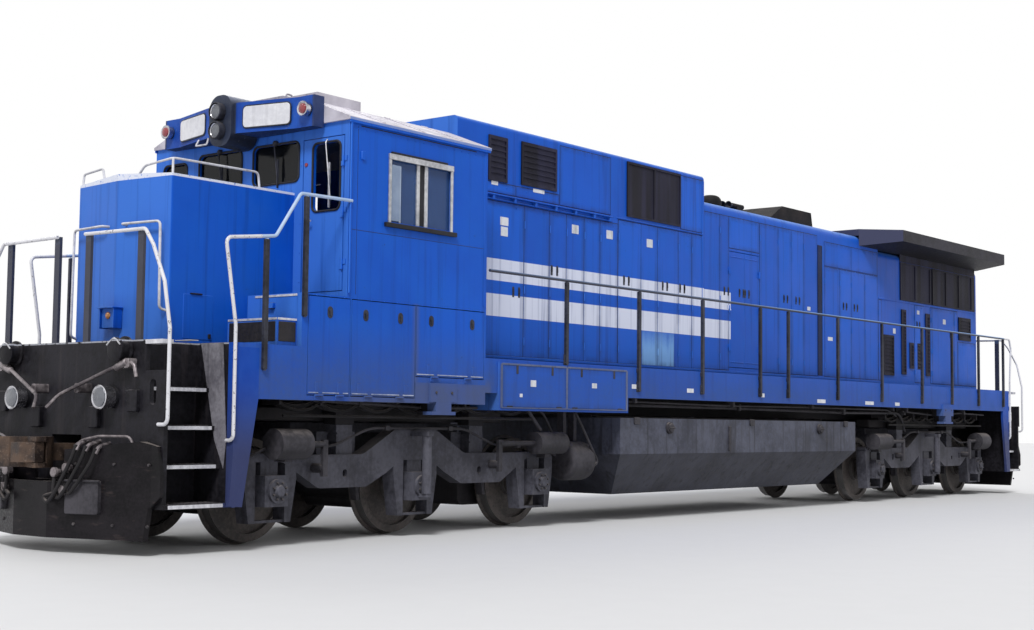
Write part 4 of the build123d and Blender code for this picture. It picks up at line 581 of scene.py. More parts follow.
dress(dirty_steel("tank_paint", (52, 54, 66), (84, 87, 102), 0.5, streaks=0.6), "fuel_tank")
dress(gear_paint, "air_reservoirs")
(tank_rear, _, _), (tank_front, tank_face, tank_top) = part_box("fuel_tank")
tank_top -= RAIL
tank_middle = (tank_rear + tank_front) / 2
tank = Stock("tank_fittings", gear_paint, "grimy_steel")
for side in BOTH:
    for x in (tank_front - 1.1, tank_rear + 1.2):
        seat = on_side(x, tank_face, tank_top - 0.16, side)
        tank.turned(seat, ((-0.02, 0.075), (0.03, 0.075), (0.034, 0.06), (0.05, 0.058), (0.056, 0.05)), 20)
        tank.pipe([seat @ Vector((along, 0, out)) for along, out in (
            (-0.05, 0.055), (-0.03, 0.085), (0.03, 0.085), (0.05, 0.055))], 0.007, 6, 0.02)
    tank.pipe([(3.95, side * 1.30, 1.35), (3.89, side * 1.33, 1.224), (3.50, side * 1.33, 0.72),
               (3.72, side * 1.33, 0.64)], 0.018, 8, 0.06)
    for x in (tank_front - 0.12, tank_rear + 0.12):
        tank.plate(on_end(x, side * 0.45, tank_top - 0.04), 0.92, 0.09, 0.03, 0.02, 0.006)
tank.bars(tank_face + 0.004, *[(x, tank_top - 0.075, 0.12, 0.09, 0.02, 0.02)
                               for x in (tank_front - 0.35, tank_middle, tank_rear + 0.35)])
tank.bars(0.9, (-0.04, tank_top - 0.06, 6.1, 0.09, 0.05, 0.02, 0.006))
tank.bars(tank_face, (tank_middle + 0.6, tank_top - 0.3, 0.06, 0.34, 0.02, 0.012, 0.004))
tank.placed()


# End platforms: black plate stepwells with four treads a side, grating treads with white front edges,
# and a thin grey plate behind the rails that paints the patch of sunlight on the stepwell's rear wall;
# the outer side panels carry the body colour.
finish, cloud, fine = clouded("platform_black", 1.4, 24.0)
run = finish.noise(5.0, 3.0, (2.5, 2.5, 0.15))
finish.base((cloud * 0.5 + fine * 0.5).step(0.36, 0.66), (17, 16, 20), (38, 37, 43))
finish.coat(run.step(0.52, 0.75) * 0.35, (60, 55, 58))
finish.coat(finish.upward.step(0.4, 0.9) * fine.step(0.3, 0.6) * 0.5, (112, 108, 110))
finish.coat(finish.z.between(1.886, 1.899) * fine.step(0.36, 0.5) * 0.8, (178, 180, 190))
blue = finish.mix(cloud.step(0.3, 0.7), (14, 64, 162), (32, 82, 178))
blue = finish.mix((1 - finish.z.step(0.821, 1.721)) * 0.85, blue, (58, 60, 82))
finish.coat(finish.y.size().step(1.425, 1.432) * (1 - finish.x.size().step(9.515, 9.52)), blue)
platform_black = finish.finished(fine.step(0.2, 0.8) * 0.2 + 0.42, 0.0, fine, 0.004, 0.15)
dress(platform_black, "front_platform", "rear_platform")
worn_white = dirty_steel("worn_white_enamel", (176, 176, 184), (222, 222, 228), 0.45, dust=0.3)
# Painted light: this grey is the sunlit patch on the stepwell's rear wall.
sunlit_wall_grey = dirty_steel("sunlit_wall_painted_grey", (96, 94, 102), (138, 136, 144), 0.5)
TREADS = (
    # height of the tread's top, outer half width
    (0.43, 1.45), (0.78, 1.34), (1.13, 1.27), (1.48, 1.18))
STEP_X = 9.83
DECK = 1.9
# The painted sun patch: a thin grey plate just off the stepwell's rear wall, in the shape of the sunlight on
# it.
SUN_PATCH_X = 9.4705
SUN_PATCH = (
    # y, z
    (1.05, DECK), (1.36, DECK), (1.43, 1.0), (1.40, 0.743), (1.27, 1.0))
SUN_PATCH_OFF = 0.006
SUN_PATCH_THICK = 0.006
edges = Stock("tread_edges", worn_white, "white_paint")
gratings = Stock("tread_gratings", gear_paint, "grimy_steel")
painted_sun_patches = Stock("platform_painted_sun_patches", sunlit_wall_grey, "grey_paint")
for e, side in CORNERS:
    for top, reach in TREADS:
        edges.plate(on_side(e * STEP_X, reach + 0.001, top - 0.02, side), 0.62, 0.034, 0.008, 0.004)
        for count in range(9):
            gratings.plate(on_top(e * (9.55 + count * 0.07), side * (reach - 0.12), top),
                           0.012, 0.2, 0.007, 0.003, 0.001)
    edges.plate(on_top(e * STEP_X, side * 1.27, DECK), 0.1, 0.22, 0.006, 0.01)
    corners = SUN_PATCH if e * side > 0 else SUN_PATCH[::-1]
    painted_sun_patches.skin([[painted_sun_patches.mesh.verts.new(Vector((e * (SUN_PATCH_X + out), side * y, z)) + LIFT)
                   for y, z in corners] for out in (SUN_PATCH_OFF + SUN_PATCH_THICK, SUN_PATCH_OFF)])
place_all(edges, gratings, painted_sun_patches)


# Pilot plows: heavy black plates below the end sheets, scraped bright along the top edge, each with a
# bent grab bar and a hose box.
finish, cloud, fine = clouded("plow_black", 2.2, 40.0)
scrape = finish.noise(7.0, 5.0, (0.6, 0.6, 2.4))
finish.base((cloud * 0.6 + fine * 0.4).step(0.35, 0.65), (12, 11, 14), (31, 28, 32))
finish.coat(scrape.step(0.6, 0.74) * 0.4, (74, 64, 63))
finish.coat(finish.upward.step(0.2, 0.8) * 0.7, (136, 128, 124))
dress(finish.finished(fine.step(0.3, 0.7) * 0.2 + 0.34, 0.0, scrape, 0.006, 0.15), "front_plow", "rear_plow")
PLOW_POINT = 10.56
PLOW_FLAT = 0.26
PLOW_SIDE_X = 10.19
PLOW_HALF = 1.45


def plow_face(y):
    """How far forward the plow's front face stands at a distance from the middle."""
    share = max(0.0, (abs(y) - PLOW_FLAT) / (PLOW_HALF - PLOW_FLAT))
    return PLOW_POINT + (PLOW_SIDE_X - PLOW_POINT) * share


def moved(seat, x, y, z):
    return seat @ Matrix.Translation((x, y, z))


hand_steel = dirty_steel("hand_polished_steel", (78, 72, 76), (158, 150, 152), 0.35, 0.5, dust=0.1)
grabs = Stock("plow_grab_bars", hand_steel, "grimy_steel")
boxes = Stock("plow_hose_boxes", gear_paint, "black_paint")
plow_bolts = []
for e, side in CORNERS:
    grabs.pipe([(e * (plow_face(y) - 0.015), side * y, z) for y, z in (
        (0.52, 0.94), (0.60, 0.995), (0.77, 1.03), (1.08, 1.03), (1.12, 0.96))], 0.012)
    slant = Vector((e * (PLOW_HALF - PLOW_FLAT), side * (PLOW_POINT - PLOW_SIDE_X), 0))
    seat = spot((e * plow_face(0.65), side * 0.65, 0.48), slant)
    boxes.plate(seat, 0.36, 0.30, 0.05, 0.02, 0.006, 0.02)
    boxes.plate(moved(seat, 0, 0.15, 0.05), 0.40, 0.018, 0.02, 0.005)
    plow_bolts += [((e * plow_face(y), side * y, z), slant) for y in (0.55, 0.95, 1.3) for z in (0.24, 0.78)]
place_all(grabs, boxes)
bolts("plow_bolts", plow_bolts, 0.016, 0.014, bolt_iron)


# Couplers: cast steel heads and knuckles, brown with thin rust over oil, polished where they rub; a
# lifting lever hangs across each end in brackets and its inner end reaches over the coupler.
finish, cloud, fine = clouded("coupler_casting", 6.0, 45.0)
finish.base(cloud.step(0.35, 0.65), (46, 38, 36), (92, 74, 62))
finish.coat(fine.step(0.56, 0.7) * 0.5, (124, 108, 98))
dress(finish.finished(cloud.step(0.3, 0.7) * 0.3 + 0.42, 0.35, fine, 0.004),
      "front_coupler", "front_knuckle", "rear_coupler", "rear_knuckle")
SHEET_X = 10.19
levers = Stock("coupler_levers", hand_steel, "grimy_steel")
for e, side in CORNERS:
    levers.pipe([(e * (SHEET_X + out), side * y, z) for out, y, z in (
        (0.06, 1.10, 1.56), (0.06, 1.06, 1.70), (0.09, 0.80, 1.645), (0.22, 0.17, 1.40), (0.30, 0.10, 1.28))],
        0.017, 10, 0.06)
    for y, z, deep in ((0.99, 1.685, 0.09), (0.34, 1.465, 0.15)):
        levers.plate(on_end(SHEET_X, side * y, z, e), 0.07, 0.09, deep, 0.02)
    collar = spot((e * (SHEET_X + 0.075), side * 0.90, 1.668), (0, -side * 0.94, -0.34), (1, 0, 0))
    levers.turned(collar, ((-0.09, 0.03), (-0.085, 0.036), (0.07, 0.036), (0.085, 0.024)), 14)
levers.placed()


# Air hoses: reinforced rubber hoses from angle cocks under each end sheet, looped back and hung on
# dummy couplings on the plow, with cast coupling heads.
HOSES = (
    # start y, start z, lowest y, lowest z, hook y, hook z
    (0.80, 0.92, 0.55, 0.50, 0.50, 0.74),
    (0.70, 0.94, 0.44, 0.46, 0.38, 0.70),
    (0.60, 0.95, 0.33, 0.42, 0.47, 0.54),
)
hose_heads = Stock("hose_fittings", hand_steel, "cast_steel")
hoses = Stock("air_hoses", rubber, "black_paint")
for e, side in CORNERS:
    for start_y, start_z, low_y, low_z, hook_y, hook_z in HOSES:
        start = Vector((e * (plow_face(start_y) + 0.05), side * start_y, start_z))
        lowest = Vector((e * (plow_face(low_y) + 0.07), side * low_y, low_z))
        hook = Vector((e * (plow_face(hook_y) + 0.045), side * hook_y, hook_z))
        back = Vector((-e * 0.07, 0, 0.02))
        hoses.pipe([start, start + Vector((e * 0.03, -side * 0.02, -0.12)),
                    lowest + Vector((0, side * 0.1, 0.08)),
                    lowest, lowest + Vector((0, -side * 0.07, 0.06)), hook], 0.017, 10, 0.09, 5)
        elbow = [start + back * 2.2, start + back * 0.4, start + Vector((0, 0, -0.05))]
        hose_heads.pipe(elbow, 0.021, 10, 0.05)
        hose_heads.turned(spot(hook - Vector((e * 0.05, 0, 0)), (e, 0, 0)),
                          ((0, 0.03), (0.03, 0.032), (0.04, 0.045), (0.07, 0.045), (0.08, 0.03)), 14)
place_all(hoses, hose_heads)


# End sheet gear: a control receptacle with a sprung cap on each side, and a pair of low lights in
# chromed shells, with the worn white bracket that ties the step rail to the sheet.
finish = Finish("dulled_chrome")
fine = finish.noise(60.0)
finish.base(finish.noise(12.0).step(0.4, 0.7), (206, 206, 212), (150, 148, 152))
chrome = finish.finished(fine.step(0.3, 0.8) * 0.18 + 0.12, 0.95, fine, 0.0008)


def lens_finish(name, deep, bright):
    """Pressed glass over a reflector: its rings and flutes carry painted reflections, bright and dark bands.
    """
    finish = Finish(name)
    flutes = finish.node("TexWave", {"wave_type": "BANDS", "bands_direction": "Y"},
                         {"Vector": finish.place, "Scale": 26.0, "Distortion": 0.3}).out("Fac")
    cloud = finish.noise(14.0)
    finish.base(flutes * 0.6 + cloud * 0.4, deep, bright)
    return finish.finished(cloud * 0.1 + 0.05, 0.0, flutes, 0.003, **{"Coat Weight": 0.6})


clear_lens = lens_finish("clear_lens", (20, 22, 28), (128, 132, 142))
red_lens = lens_finish("red_lens", (96, 22, 34), (168, 52, 62))
amber_lens = lens_finish("amber_lens", (170, 92, 30), (240, 170, 92))
dress(dirty_steel("lamp_shell", (30, 30, 34), (58, 58, 64), 0.3, 0.3, dust=0.2), "lamps")
rims = Stock("lamp_rims", chrome, "lamp_chrome")
clear = Stock("clear_lamp_glasses", clear_lens, "glass")
sheet_gear = Stock("end_sheet_gear", platform_black, "black_paint")
sheet_white = Stock("end_sheet_brackets", worn_white, "white_paint")
for e, side in CORNERS:
    seat = on_end(10.33, side * 0.69, 1.38, e)
    rims.turned(seat, ((-0.10, 0.103), (-0.02, 0.112), (0.014, 0.112), (0.02, 0.104), (0.012, 0.092)), 28)
    clear.turned(seat, ((0.008, 0.09), (0.018, 0.086), (0.026, 0.06), (0.03, 0.02)), 28)
    seat = on_end(SHEET_X, side * 0.86, 1.81, e)
    sheet_gear.turned(seat, ((0, 0.125), (0.02, 0.125), (0.03, 0.10), (0.10, 0.095), (0.105, 0.11),
                             (0.125, 0.11), (0.135, 0.09)), 24)
    rims.run([seat @ Vector(point) for point in ((-0.1, 0.04, 0.137), (0, 0.115, 0.13), (0.1, 0.04, 0.137))],
             circle(0.008, 6), 0.08)
    for y, z in ((0.45, 1.2), (1.02, 1.35)):
        sheet_gear.plate(on_end(SHEET_X, side * y, z, e), 0.14, 0.2, 0.05, 0.02, 0.008)
    sheet_white.plate(on_end(10.185, side * 1.26, 1.878, e), 0.24, 0.04, 0.006, 0.004, 0.002, 0.12)
place_all(sheet_gear, sheet_white)


# Nose: welded sheet with a low ridge on top, in body colour and painted paler in front as painted
# light, with two bent hand grabs, a lamp box, a low hatch each side, sand filler lids and a small rail
# on the roof edge.
NOSE_HALF = 0.73
NOSE_CORNER_X = 9.62
NOSE_RIDGE_X = 9.70


def nose_face(y):
    """How far forward the nose's front stands at a distance from its ridge."""
    return NOSE_RIDGE_X - (NOSE_RIDGE_X - NOSE_CORNER_X) * abs(y) / NOSE_HALF


nose_paint = blue_paint("nose_blue", dusty=0.3, crest=(3.498, 3.60))
dress(nose_paint, "nose")
GRAB_STAND = 0.075
nose_grabs = Stock("nose_hand_grabs", worn_white, "white_paint")
for side, inner, low_z in ((1, 0.147, 2.23), (-1, 0.133, 2.0)):
    nose_grabs.pipe([(nose_face(face_y) + out, side * y, z) for face_y, out, y, z in (
        (inner, 0, inner, 3.06), (inner, GRAB_STAND, inner + 0.01, 3.06), (0.675, GRAB_STAND, 0.675, 3.06),
        (0.69, GRAB_STAND, 0.69, low_z), (0.71, 0, 0.71, low_z - 0.02))], 0.013, 8, 0.05)
nose_grabs.pipe([(9.60, 0.20, 3.555), (9.60, 0.285, 3.637), (9.586, 0.70, 3.674), (8.52, 0.70, 3.68),
                 (8.50, 0.70, 3.53)], 0.012, 8, 0.05)
nose_grabs.pipe([(9.58, 0.69, 3.52), (9.58, 0.69, 3.67)], 0.012, 8)
nose_grabs.pipe([(9.60, -0.70, 3.53), (9.60, -0.685, 3.64), (9.60, -0.375, 3.67), (9.60, -0.345, 3.54)],
                0.012, 8, 0.03)
lamp_box = Stock("nose_lamp_box", nose_paint, "blue_paint")
seat = on_end(nose_face(0) - 0.005, 0.01, 2.155)
lamp_box.plate(seat, 0.2, 0.19, 0.075, 0.01)
lamp_box.plate(moved(seat, 0, 0.1, 0), 0.25, 0.014, 0.12, 0.004)
for side in BOTH:
    lamp_box.plate(moved(seat, side * 0.108, 0, 0), 0.012, 0.2, 0.1, 0.004)
hatch_marks = Stock("nose_hatch_fittings", platform_black, "black_paint")
lamp_box.bars(NOSE_HALF, (9.268, 2.17, 0.362, 0.43, 0.005, 0.015, 0.002))
hatch_marks.bars(NOSE_HALF + 0.004, (9.30, 2.39, 0.14, 0.014, 0.014, 0.005),
                 (9.13, 1.99, 0.03, 0.045, 0.014, 0.008))
for side in BOTH:
    lid = spot((9.1, side * 0.34, 3.545), (0, side * 0.056, 1), (0, 1, 0))
    lamp_box.plate(lid, 0.30, 0.26, 0.03, 0.03, 0.006)
    hatch_marks.plate(moved(lid, 0, -side * 0.13, 0.01), 0.06, 0.05, 0.028, 0.01)
amber = Stock("nose_amber_glass", amber_lens, "glass")
amber.turned(on_end(nose_face(0) + 0.07, 0.01, 2.18),
             ((-0.01, 0.034), (0.008, 0.034), (0.02, 0.024), (0.025, 0.008)), 18)
place_all(nose_grabs, lamp_box, hatch_marks, amber)


# Cab base: lockers of welded plate under the cab floor, in body colour but grimed low down, with
# drop doors on strap hinges, paddle latches, and chequered porch steps before both cab doors, with
# black plates under the step nosings as painted shade of the open space beneath the treads.
locker_paint = blue_paint("locker_blue", dusty=0.9, deck=True,
                          grimed=((5.8, 7.99, 1.3, 1.46), (7.0, 7.06, 1.3, 2.42)))
dress(locker_paint, "cab_base")
latch_iron = dirty_steel("latch_iron", (26, 27, 34), (60, 62, 74), 0.45, 0.2, dust=0.2)
lip_paint = dirty_steel("worn_lip_paint", (112, 126, 164), (176, 184, 208), 0.45, dust=0.2)
LOCKERS = (
    # door, x of its latches, x of its hinge straps, z of its lip, x low and x high of its lip
    ("a", (8.275,), (8.43, 8.13), 1.46, 8.01, 8.55),
    ("b", (7.777, 7.269), (7.855, 7.175), 1.46, 7.055, 7.96),
    ("c", (6.795, 6.13), (6.825, 6.09), 1.684, 5.94, 7.01),
)
for side_name, side in SIDES:
    for name, latches, straps, z, low_x, high_x in LOCKERS:
        door = f"box_door_{name}_{side_name}"
        dress(locker_paint, door)
        paddles = Stock(door + "_latches", latch_iron, "black_paint", door)
        for x in latches:
            seat = on_side(x, WALL, 2.25, side)
            paddles.plate(seat, 0.074, 0.118, 0.004, 0.036)
            paddles.turned(moved(seat, 0, 0.015, 0), ((0.002, 0.017), (0.012, 0.017), (0.016, 0.01)), 12)
            paddles.plate(moved(seat, 0, -0.012, 0.004), 0.016, 0.05, 0.013, 0.006)
        lip = Stock(door + "_lip", lip_paint, "blue_paint", door)
        lip.plate(on_side((low_x + high_x) / 2, WALL, z, side), high_x - low_x, 0.012, 0.006, 0.003)
        bands = Stock(door + "_hinge_straps", locker_paint, "blue_paint", door)
        for x in straps:
            bands.plate(on_side(x, WALL, z + 0.055, side), 0.06, 0.1, 0.006, 0.01)
        place_all(paddles, lip, bands)
bolts("cab_base_bolts", [((5.99 + count * 0.19, side * WALL, 2.406), (0, side, 0))
                         for side in BOTH for count in range(14)], 0.008, 0.007, locker_paint)
porch = Stock("porch_fittings", locker_paint, "blue_paint")
nosings = Stock("porch_nosings", worn_white, "white_paint")
# Painted shade: black plates below the step nosings stand for the dark open space under the grating treads.
open_step_shade = Stock("porch_open_step_shade", pocket_iron, "black_paint")
for side in BOTH:
    porch.plate(on_end(8.65, side * 1.10, 2.305), 0.085, 0.06, 0.04, 0.01, 0.005)
    nosings.plate(on_end(8.9, side * 1.093, 2.155), 0.70, 0.022, 0.006, 0.004)
    nosings.plate(on_end(8.65, side * 1.15, 2.40), 0.60, 0.022, 0.006, 0.004)
    open_step_shade.plate(on_end(8.9, side * 1.093, 2.035), 0.66, 0.19, 0.004, 0.01)
nosings.bars(1.45, (8.775, 2.155, 0.245, 0.022, 0.006, 0.004))
open_step_shade.bars(1.45, (8.775, 2.035, 0.22, 0.19, 0.004, 0.01))
place_all(porch, nosings, open_step_shade)


# Cab: sheet steel walls in body colour, welded seams and a gutter; sliding side windows in bare
# aluminium, windshields in black rubber, wipers, and grab handles and latches on the doors.
cab_paint = blue_paint("cab_blue", dusty=0.35)
dress(cab_paint, "cab_shell", "cab_front_door", "cab_rear_door")
seal = dirty_steel("window_rubber", (20, 20, 24), (42, 42, 48), 0.6, dust=0.3)
aluminium = dirty_steel("window_aluminium", (150, 152, 158), (206, 206, 210), 0.35, 0.6, dust=0.1,
                        streaks=0.15)
CAB_FRONT = 8.047
CAB_REAR = 5.895
frames = Stock("side_window_frames", aluminium, "cast_steel")
frames.bars(WALL, (6.505, 3.5675, 0.035, 0.705, 0.016, 0.004), (7.466, 3.5675, 0.035, 0.705, 0.016, 0.004),
            (6.9855, 3.91, 1.001, 0.06, 0.022, 0.004))
frames.bars(WALL - 0.024, (7.02, 3.5675, 0.045, 0.665, 0.018, 0.004),
            (6.895, 3.5675, 0.05, 0.665, 0.018, 0.004))
frames.bars(WALL - 0.022, (7.29, 3.5275, 0.018, 0.585, 0.012, 0.004))
seams = Stock("cab_seams", seal, "black_paint")
seams.bars(WALL - 0.03, (6.955, 3.5675, 0.08, 0.665, 0.014, 0.004))
seams.bars(WALL, (6.9855, 3.20, 1.101, 0.045, 0.035, 0.004), (7.015, 3.952, 0.87, 0.02, 0.02, 0.004),
           (6.99, 4.158, 1.80, 0.010, 0.003, 0.004), (6.971, 3.10, 2.132, 0.005, 0.002, 0.004),
           (7.93, 3.30, 0.005, 1.70, 0.002, 0.004))
trim = Stock("cab_trim", cab_paint, "blue_paint")
trim.bars(WALL + 0.012, (6.971, 4.188, 2.192, 0.03, 0.016, 0.004))
trim.bars(WALL, (CAB_REAR + 0.03, 3.31, 0.05, 1.70, 0.004, 0.004), (7.86, 3.86, 0.05, 0.09, 0.02, 0.012))
for side in BOTH:
    trim.pipe([(CAB_FRONT - 0.012, side * (WALL + 0.014), z) for z in (4.18, 2.46)], 0.013)
SHIELDS = (
    # middle y, middle z, width, height, name, body
    (0.44, 3.8525, 0.69, 0.405, "left_inner", "carbody"),
    (-0.44, 3.8525, 0.69, 0.405, "right_inner", "carbody"),
    (1.195, 3.655, 0.39, 0.69, "left_outer", "cab_front_door"),
    (-1.195, 3.655, 0.39, 0.69, "right_outer", "carbody"),
)
for y, z, width, height, name, body in SHIELDS:
    gasket = Stock("windshield_seal_" + name, seal, "black_paint", body)
    seat = on_end(CAB_FRONT, y, z)
    outline = [seat @ Vector((x, v, 0.004)) for x, v in rounded(width + 0.012, height + 0.012, 0.066, 5)]
    gasket.run(outline + outline[:2], circle(0.012, 6), 0.002, 1)
    gasket.placed()
WIPER_LEAN = 0.05
wipers = Stock("windshield_wipers", latch_iron, "black_paint")
for y in (0.44, -0.44):
    wipers.turned(on_end(CAB_FRONT, y, 4.07), ((0, 0.03), (0.03, 0.028), (0.04, 0.015)), 12)
    wipers.pipe([(CAB_FRONT + 0.035, y, 4.07), (CAB_FRONT + 0.03, y + WIPER_LEAN, 3.72)], 0.007, 6)
    wipers.plate(on_end(CAB_FRONT + 0.006, y + WIPER_LEAN * 0.85, 3.75), 0.014, 0.30, 0.02, 0.004)
door_wiper = Stock("front_door_wiper", aluminium, "cast_steel", "cab_front_door")
door_wiper.pipe([(CAB_FRONT + 0.005, 1.203, 4.03), (CAB_FRONT + 0.03, 1.205, 4.0),
                 (CAB_FRONT + 0.028, 1.28, 3.42)], 0.007, 6, 0.02)
door_wiper.plate(on_end(CAB_FRONT + 0.006, 1.25, 3.56), 0.016, 0.46, 0.02, 0.004)
for body, x, y, way in (("cab_front_door", CAB_FRONT, 0.93, 1), ("cab_rear_door", CAB_REAR, -1.13, -1)):
    handle = Stock(body + "_handle", aluminium, "cast_steel", body)
    seat = spot((x, y, 3.18), (way, 0, 0))
    handle.plate(seat, 0.06, 0.14, 0.006, 0.015)
    bow = ((0, 0.03, 0), (0, 0.03, 0.05), (0.10 * way, 0.03, 0.055))
    handle.pipe([seat @ Vector(point) for point in bow], 0.011, 8, 0.02)
    handle.placed()
rivets = [((CAB_FRONT, y, z), (1, 0, 0)) for y in (0.82, -0.82) for z in (2.6, 2.9, 3.2, 3.5, 3.8)]
rivets += [((5.98 + count * 0.122, side * WALL, 4.125), (0, side, 0)) for side in BOTH for count in range(17)]
bolts("cab_rivets", rivets, 0.007, 0.005, cab_paint, sides=8)
red = Stock("red_lamp_glasses", red_lens, "glass")
red.turned(on_end(CAB_FRONT, 0.90, 3.80), ((0, 0.022), (0.01, 0.02), (0.016, 0.008)), 12)

# Painted light and shade: windshields are painted near black for the shade behind them, side panes light blue
# for the light seen through them.
finish = Finish("painted_light_and_shade_glass")
film = finish.noise(3.5)
sideways = finish.outward.size().step(0.5, 0.8)
finish.base(sideways, (10, 12, 16), finish.mix(film, (44, 70, 118), (58, 88, 140)))
dress(finish.finished(film * 0.12 + 0.05, 0.0, film, 0.0006, 0.25, Alpha=sideways * -0.1 + 0.86),
      "window_glass")
# Painted light: the wind wings are painted pale blue for the sky light they catch.
finish = Finish("wind_wing_glass")
film = finish.noise(5.0)
finish.base(film, (140, 162, 196), (178, 196, 220))
wing_glass = finish.finished(film * 0.1 + 0.08, 0.0, film, 0.0004, Alpha=film * 0.2 + 0.4)
wings = Stock("side_wind_wings", wing_glass, "glass")
wings.bars(WALL, (7.372, 3.54, 0.15, 0.58, 0.005, 0.012, 0.001))
place_all(frames, seams, trim, wipers, door_wiper, wings)


# Cab roof: light grey painted sheet bent over bows and riveted to them, with welded battens, a raised
# hatch and lifting eyes; soot lies on it and its eaves are rubbed blue.
finish, cloud, fine = clouded("roof_grey", 1.6, 24.0)
finish.base(cloud.step(0.35, 0.7), (206, 202, 212), (164, 160, 172))
finish.coat((cloud * 0.5 + fine * 0.5).step(0.55, 0.7) * 0.55, (96, 94, 100))
finish.coat(finish.outward.size().step(0.8, 0.98) * (1 - finish.z.step(4.222, 4.228)) * 0.85, (92, 126, 196))
roof_grey = finish.finished(fine.step(0.3, 0.7) * 0.2 + 0.5, 0.0, fine, 0.004)
dress(roof_grey, "cab_roof")
EAVE = Vector((0, 1.55, 4.23))
KNEE = Vector((0, 0.912, 4.478))
roofing = Stock("cab_roof_battens", roof_grey, "grey_paint")
roof_bolts = []
for side in BOTH:
    tilt = Vector((0, side * (KNEE.z - EAVE.z), EAVE.y - KNEE.y))
    for x in (6.35, 6.95, 7.55):
        for share in (0.15, 0.38, 0.5, 0.62, 0.85):
            across = EAVE.lerp(KNEE, share)
            if share == 0.5:
                roofing.plate(spot((x, side * across.y, across.z), tilt, (0, 1, 0)), 0.05, 0.62, 0.008, 0.01)
            else:
                roof_bolts.append(((x, side * across.y, across.z + 0.007), tilt))
    roofing.pipe([(x, side * 0.5, z) for x, z in ((7.9, 4.55), (7.9, 4.60), (7.98, 4.60), (7.98, 4.55))],
                 0.01, 8, 0.03)
roofing.placed()
bolts("cab_roof_bolts", roof_bolts, 0.009, 0.008, roof_grey)


# Cab inside: a steel desk and two seats with crowned vinyl pads on steel pedestals, seen dimly through
# the glass, and the plain painted block of the engine under the hoods.
dress(dirty_steel("cab_inside_green", (70, 82, 84), (96, 108, 110), 0.6, dust=0.1), "cab_interior")
dress(gear_paint, "engine_block")
finish = Finish("seat_vinyl")
grain = finish.noise(220.0, 3.0)
finish.base(finish.noise(6.0), (92, 132, 168), (140, 176, 204))
vinyl = finish.finished(grain.step(0.3, 0.7) * 0.2 + 0.42, 0.0, grain, 0.0015)
CAB_FLOOR = RAIL + 2.48
CROWNS = (0.16, 0.16, 0.22)


def pad(name, middle, half, axis):
    """A crowned cushion: a superellipsoid whose faces swell between pulled-in corners."""
    mesh = bmesh.new()
    bmesh.ops.create_cube(mesh, size=2.0)
    bmesh.ops.subdivide_edges(mesh, edges=mesh.edges[:], cuts=7, use_grid_fill=True)
    for vert in mesh.verts:
        u, v, w = vert.co
        pull = 1 - 0.10 * (u * u * v * v + v * v * w * w + u * u * w * w)
        others = [1 - value * value for number, value in enumerate(vert.co) if number != axis]
        channel = 1 - 0.05 * math.exp(-(v * 6) ** 2)
        shaped = vert.co * pull
        shaped[axis] *= 1 + CROWNS[axis] * others[0] * others[1]
        vert.co = Vector(middle) + Vector([value * size for value, size in zip(shaped, half)]) * channel
    data = bpy.data.meshes.new(name)
    mesh.to_mesh(data)
    mesh.free()
    data.materials.append(vinyl)
    data.polygons.foreach_set("use_smooth", [True] * len(data.polygons))
    piece = riding(name, data, "carbody")


for side_name, side in SIDES:
    pad(f"seat_cushion_{side_name}", (6.76, side * 1.04, CAB_FLOOR + 0.50), (0.25, 0.25, 0.085), 2)
    pad(f"seat_back_{side_name}", (6.535, side * 1.04, CAB_FLOOR + 0.78), (0.085, 0.25, 0.30), 0)


# Number box: sheet steel in body colour, worn to bare grey on its edges and darkened underneath as
# painted shade, with plain white boards, twin sealed headlights in dark shells and a red marker lamp
# with a chromed ring at each end.
finish, cloud, fine = clouded("number_box_blue", 3.0, 30.0)
slate = finish.mix(cloud, (30, 36, 52), (56, 64, 84))
finish.base(cloud.step(0.3, 0.7), (6, 58, 146), (26, 80, 172))
finish.coat(1 - finish.y.size().step(0.19, 0.215), slate)
finish.coat(finish.y.size().step(1.14, 1.16) * 0.75, slate)
finish.coat(finish.upward.step(0.3, 0.8) * 0.6, (130, 136, 156))
# Painted shade: faces that look down are darkened.
finish.coat((finish.upward * -1).step(0.1, 0.5) * 0.8, (14, 20, 34))
finish.coat((fine * 0.5 + cloud * 0.5).step(0.6, 0.7) * 0.5, (120, 124, 140))
dress(finish.finished(fine.step(0.3, 0.7) * 0.2 + 0.4, 0.0, fine, 0.003, 0.3), "number_box")
board_white = dirty_steel("board_white", (206, 206, 212), (228, 228, 232), 0.35, dust=0.1, streaks=0.15)
boards = Stock("number_boards", board_white, "white_paint")
board_rims = Stock("number_board_rims", latch_iron, "black_paint")
for side in BOTH:
    seat = spot((8.3175, side * 0.5825, 4.31), (0.695, side * 0.165, 0))
    board_rims.plate(seat, 0.60, 0.245, 0.008, 0.05, 0.003)
    boards.plate(seat, 0.575, 0.22, 0.013, 0.04, 0.003)
    seat = on_end(8.29, side * 1.083, 4.325)
    rims.turned(seat, ((-0.055, 0.071), (-0.005, 0.076), (0.008, 0.075), (0.012, 0.068), (0.006, 0.056)), 28)
    red.turned(seat, ((0.0, 0.055), (0.012, 0.05), (0.022, 0.03), (0.026, 0.01)), 24)
shells = Stock("headlight_shells", latch_iron, "black_paint")
for z in (4.19, 4.39):
    seat = on_end(8.49, 0, z)
    shells.turned(seat, ((-0.045, 0.092), (0.01, 0.096), (0.03, 0.094), (0.034, 0.086), (0.012, 0.082)), 28)
    rims.turned(seat, ((0.0, 0.081), (0.014, 0.081), (0.018, 0.077), (0.012, 0.072)), 28)
    clear.turned(seat, ((0.0, 0.074), (0.012, 0.072), (0.02, 0.05), (0.024, 0.016)), 28)
grip = Stock("number_box_grip", worn_white, "white_paint")
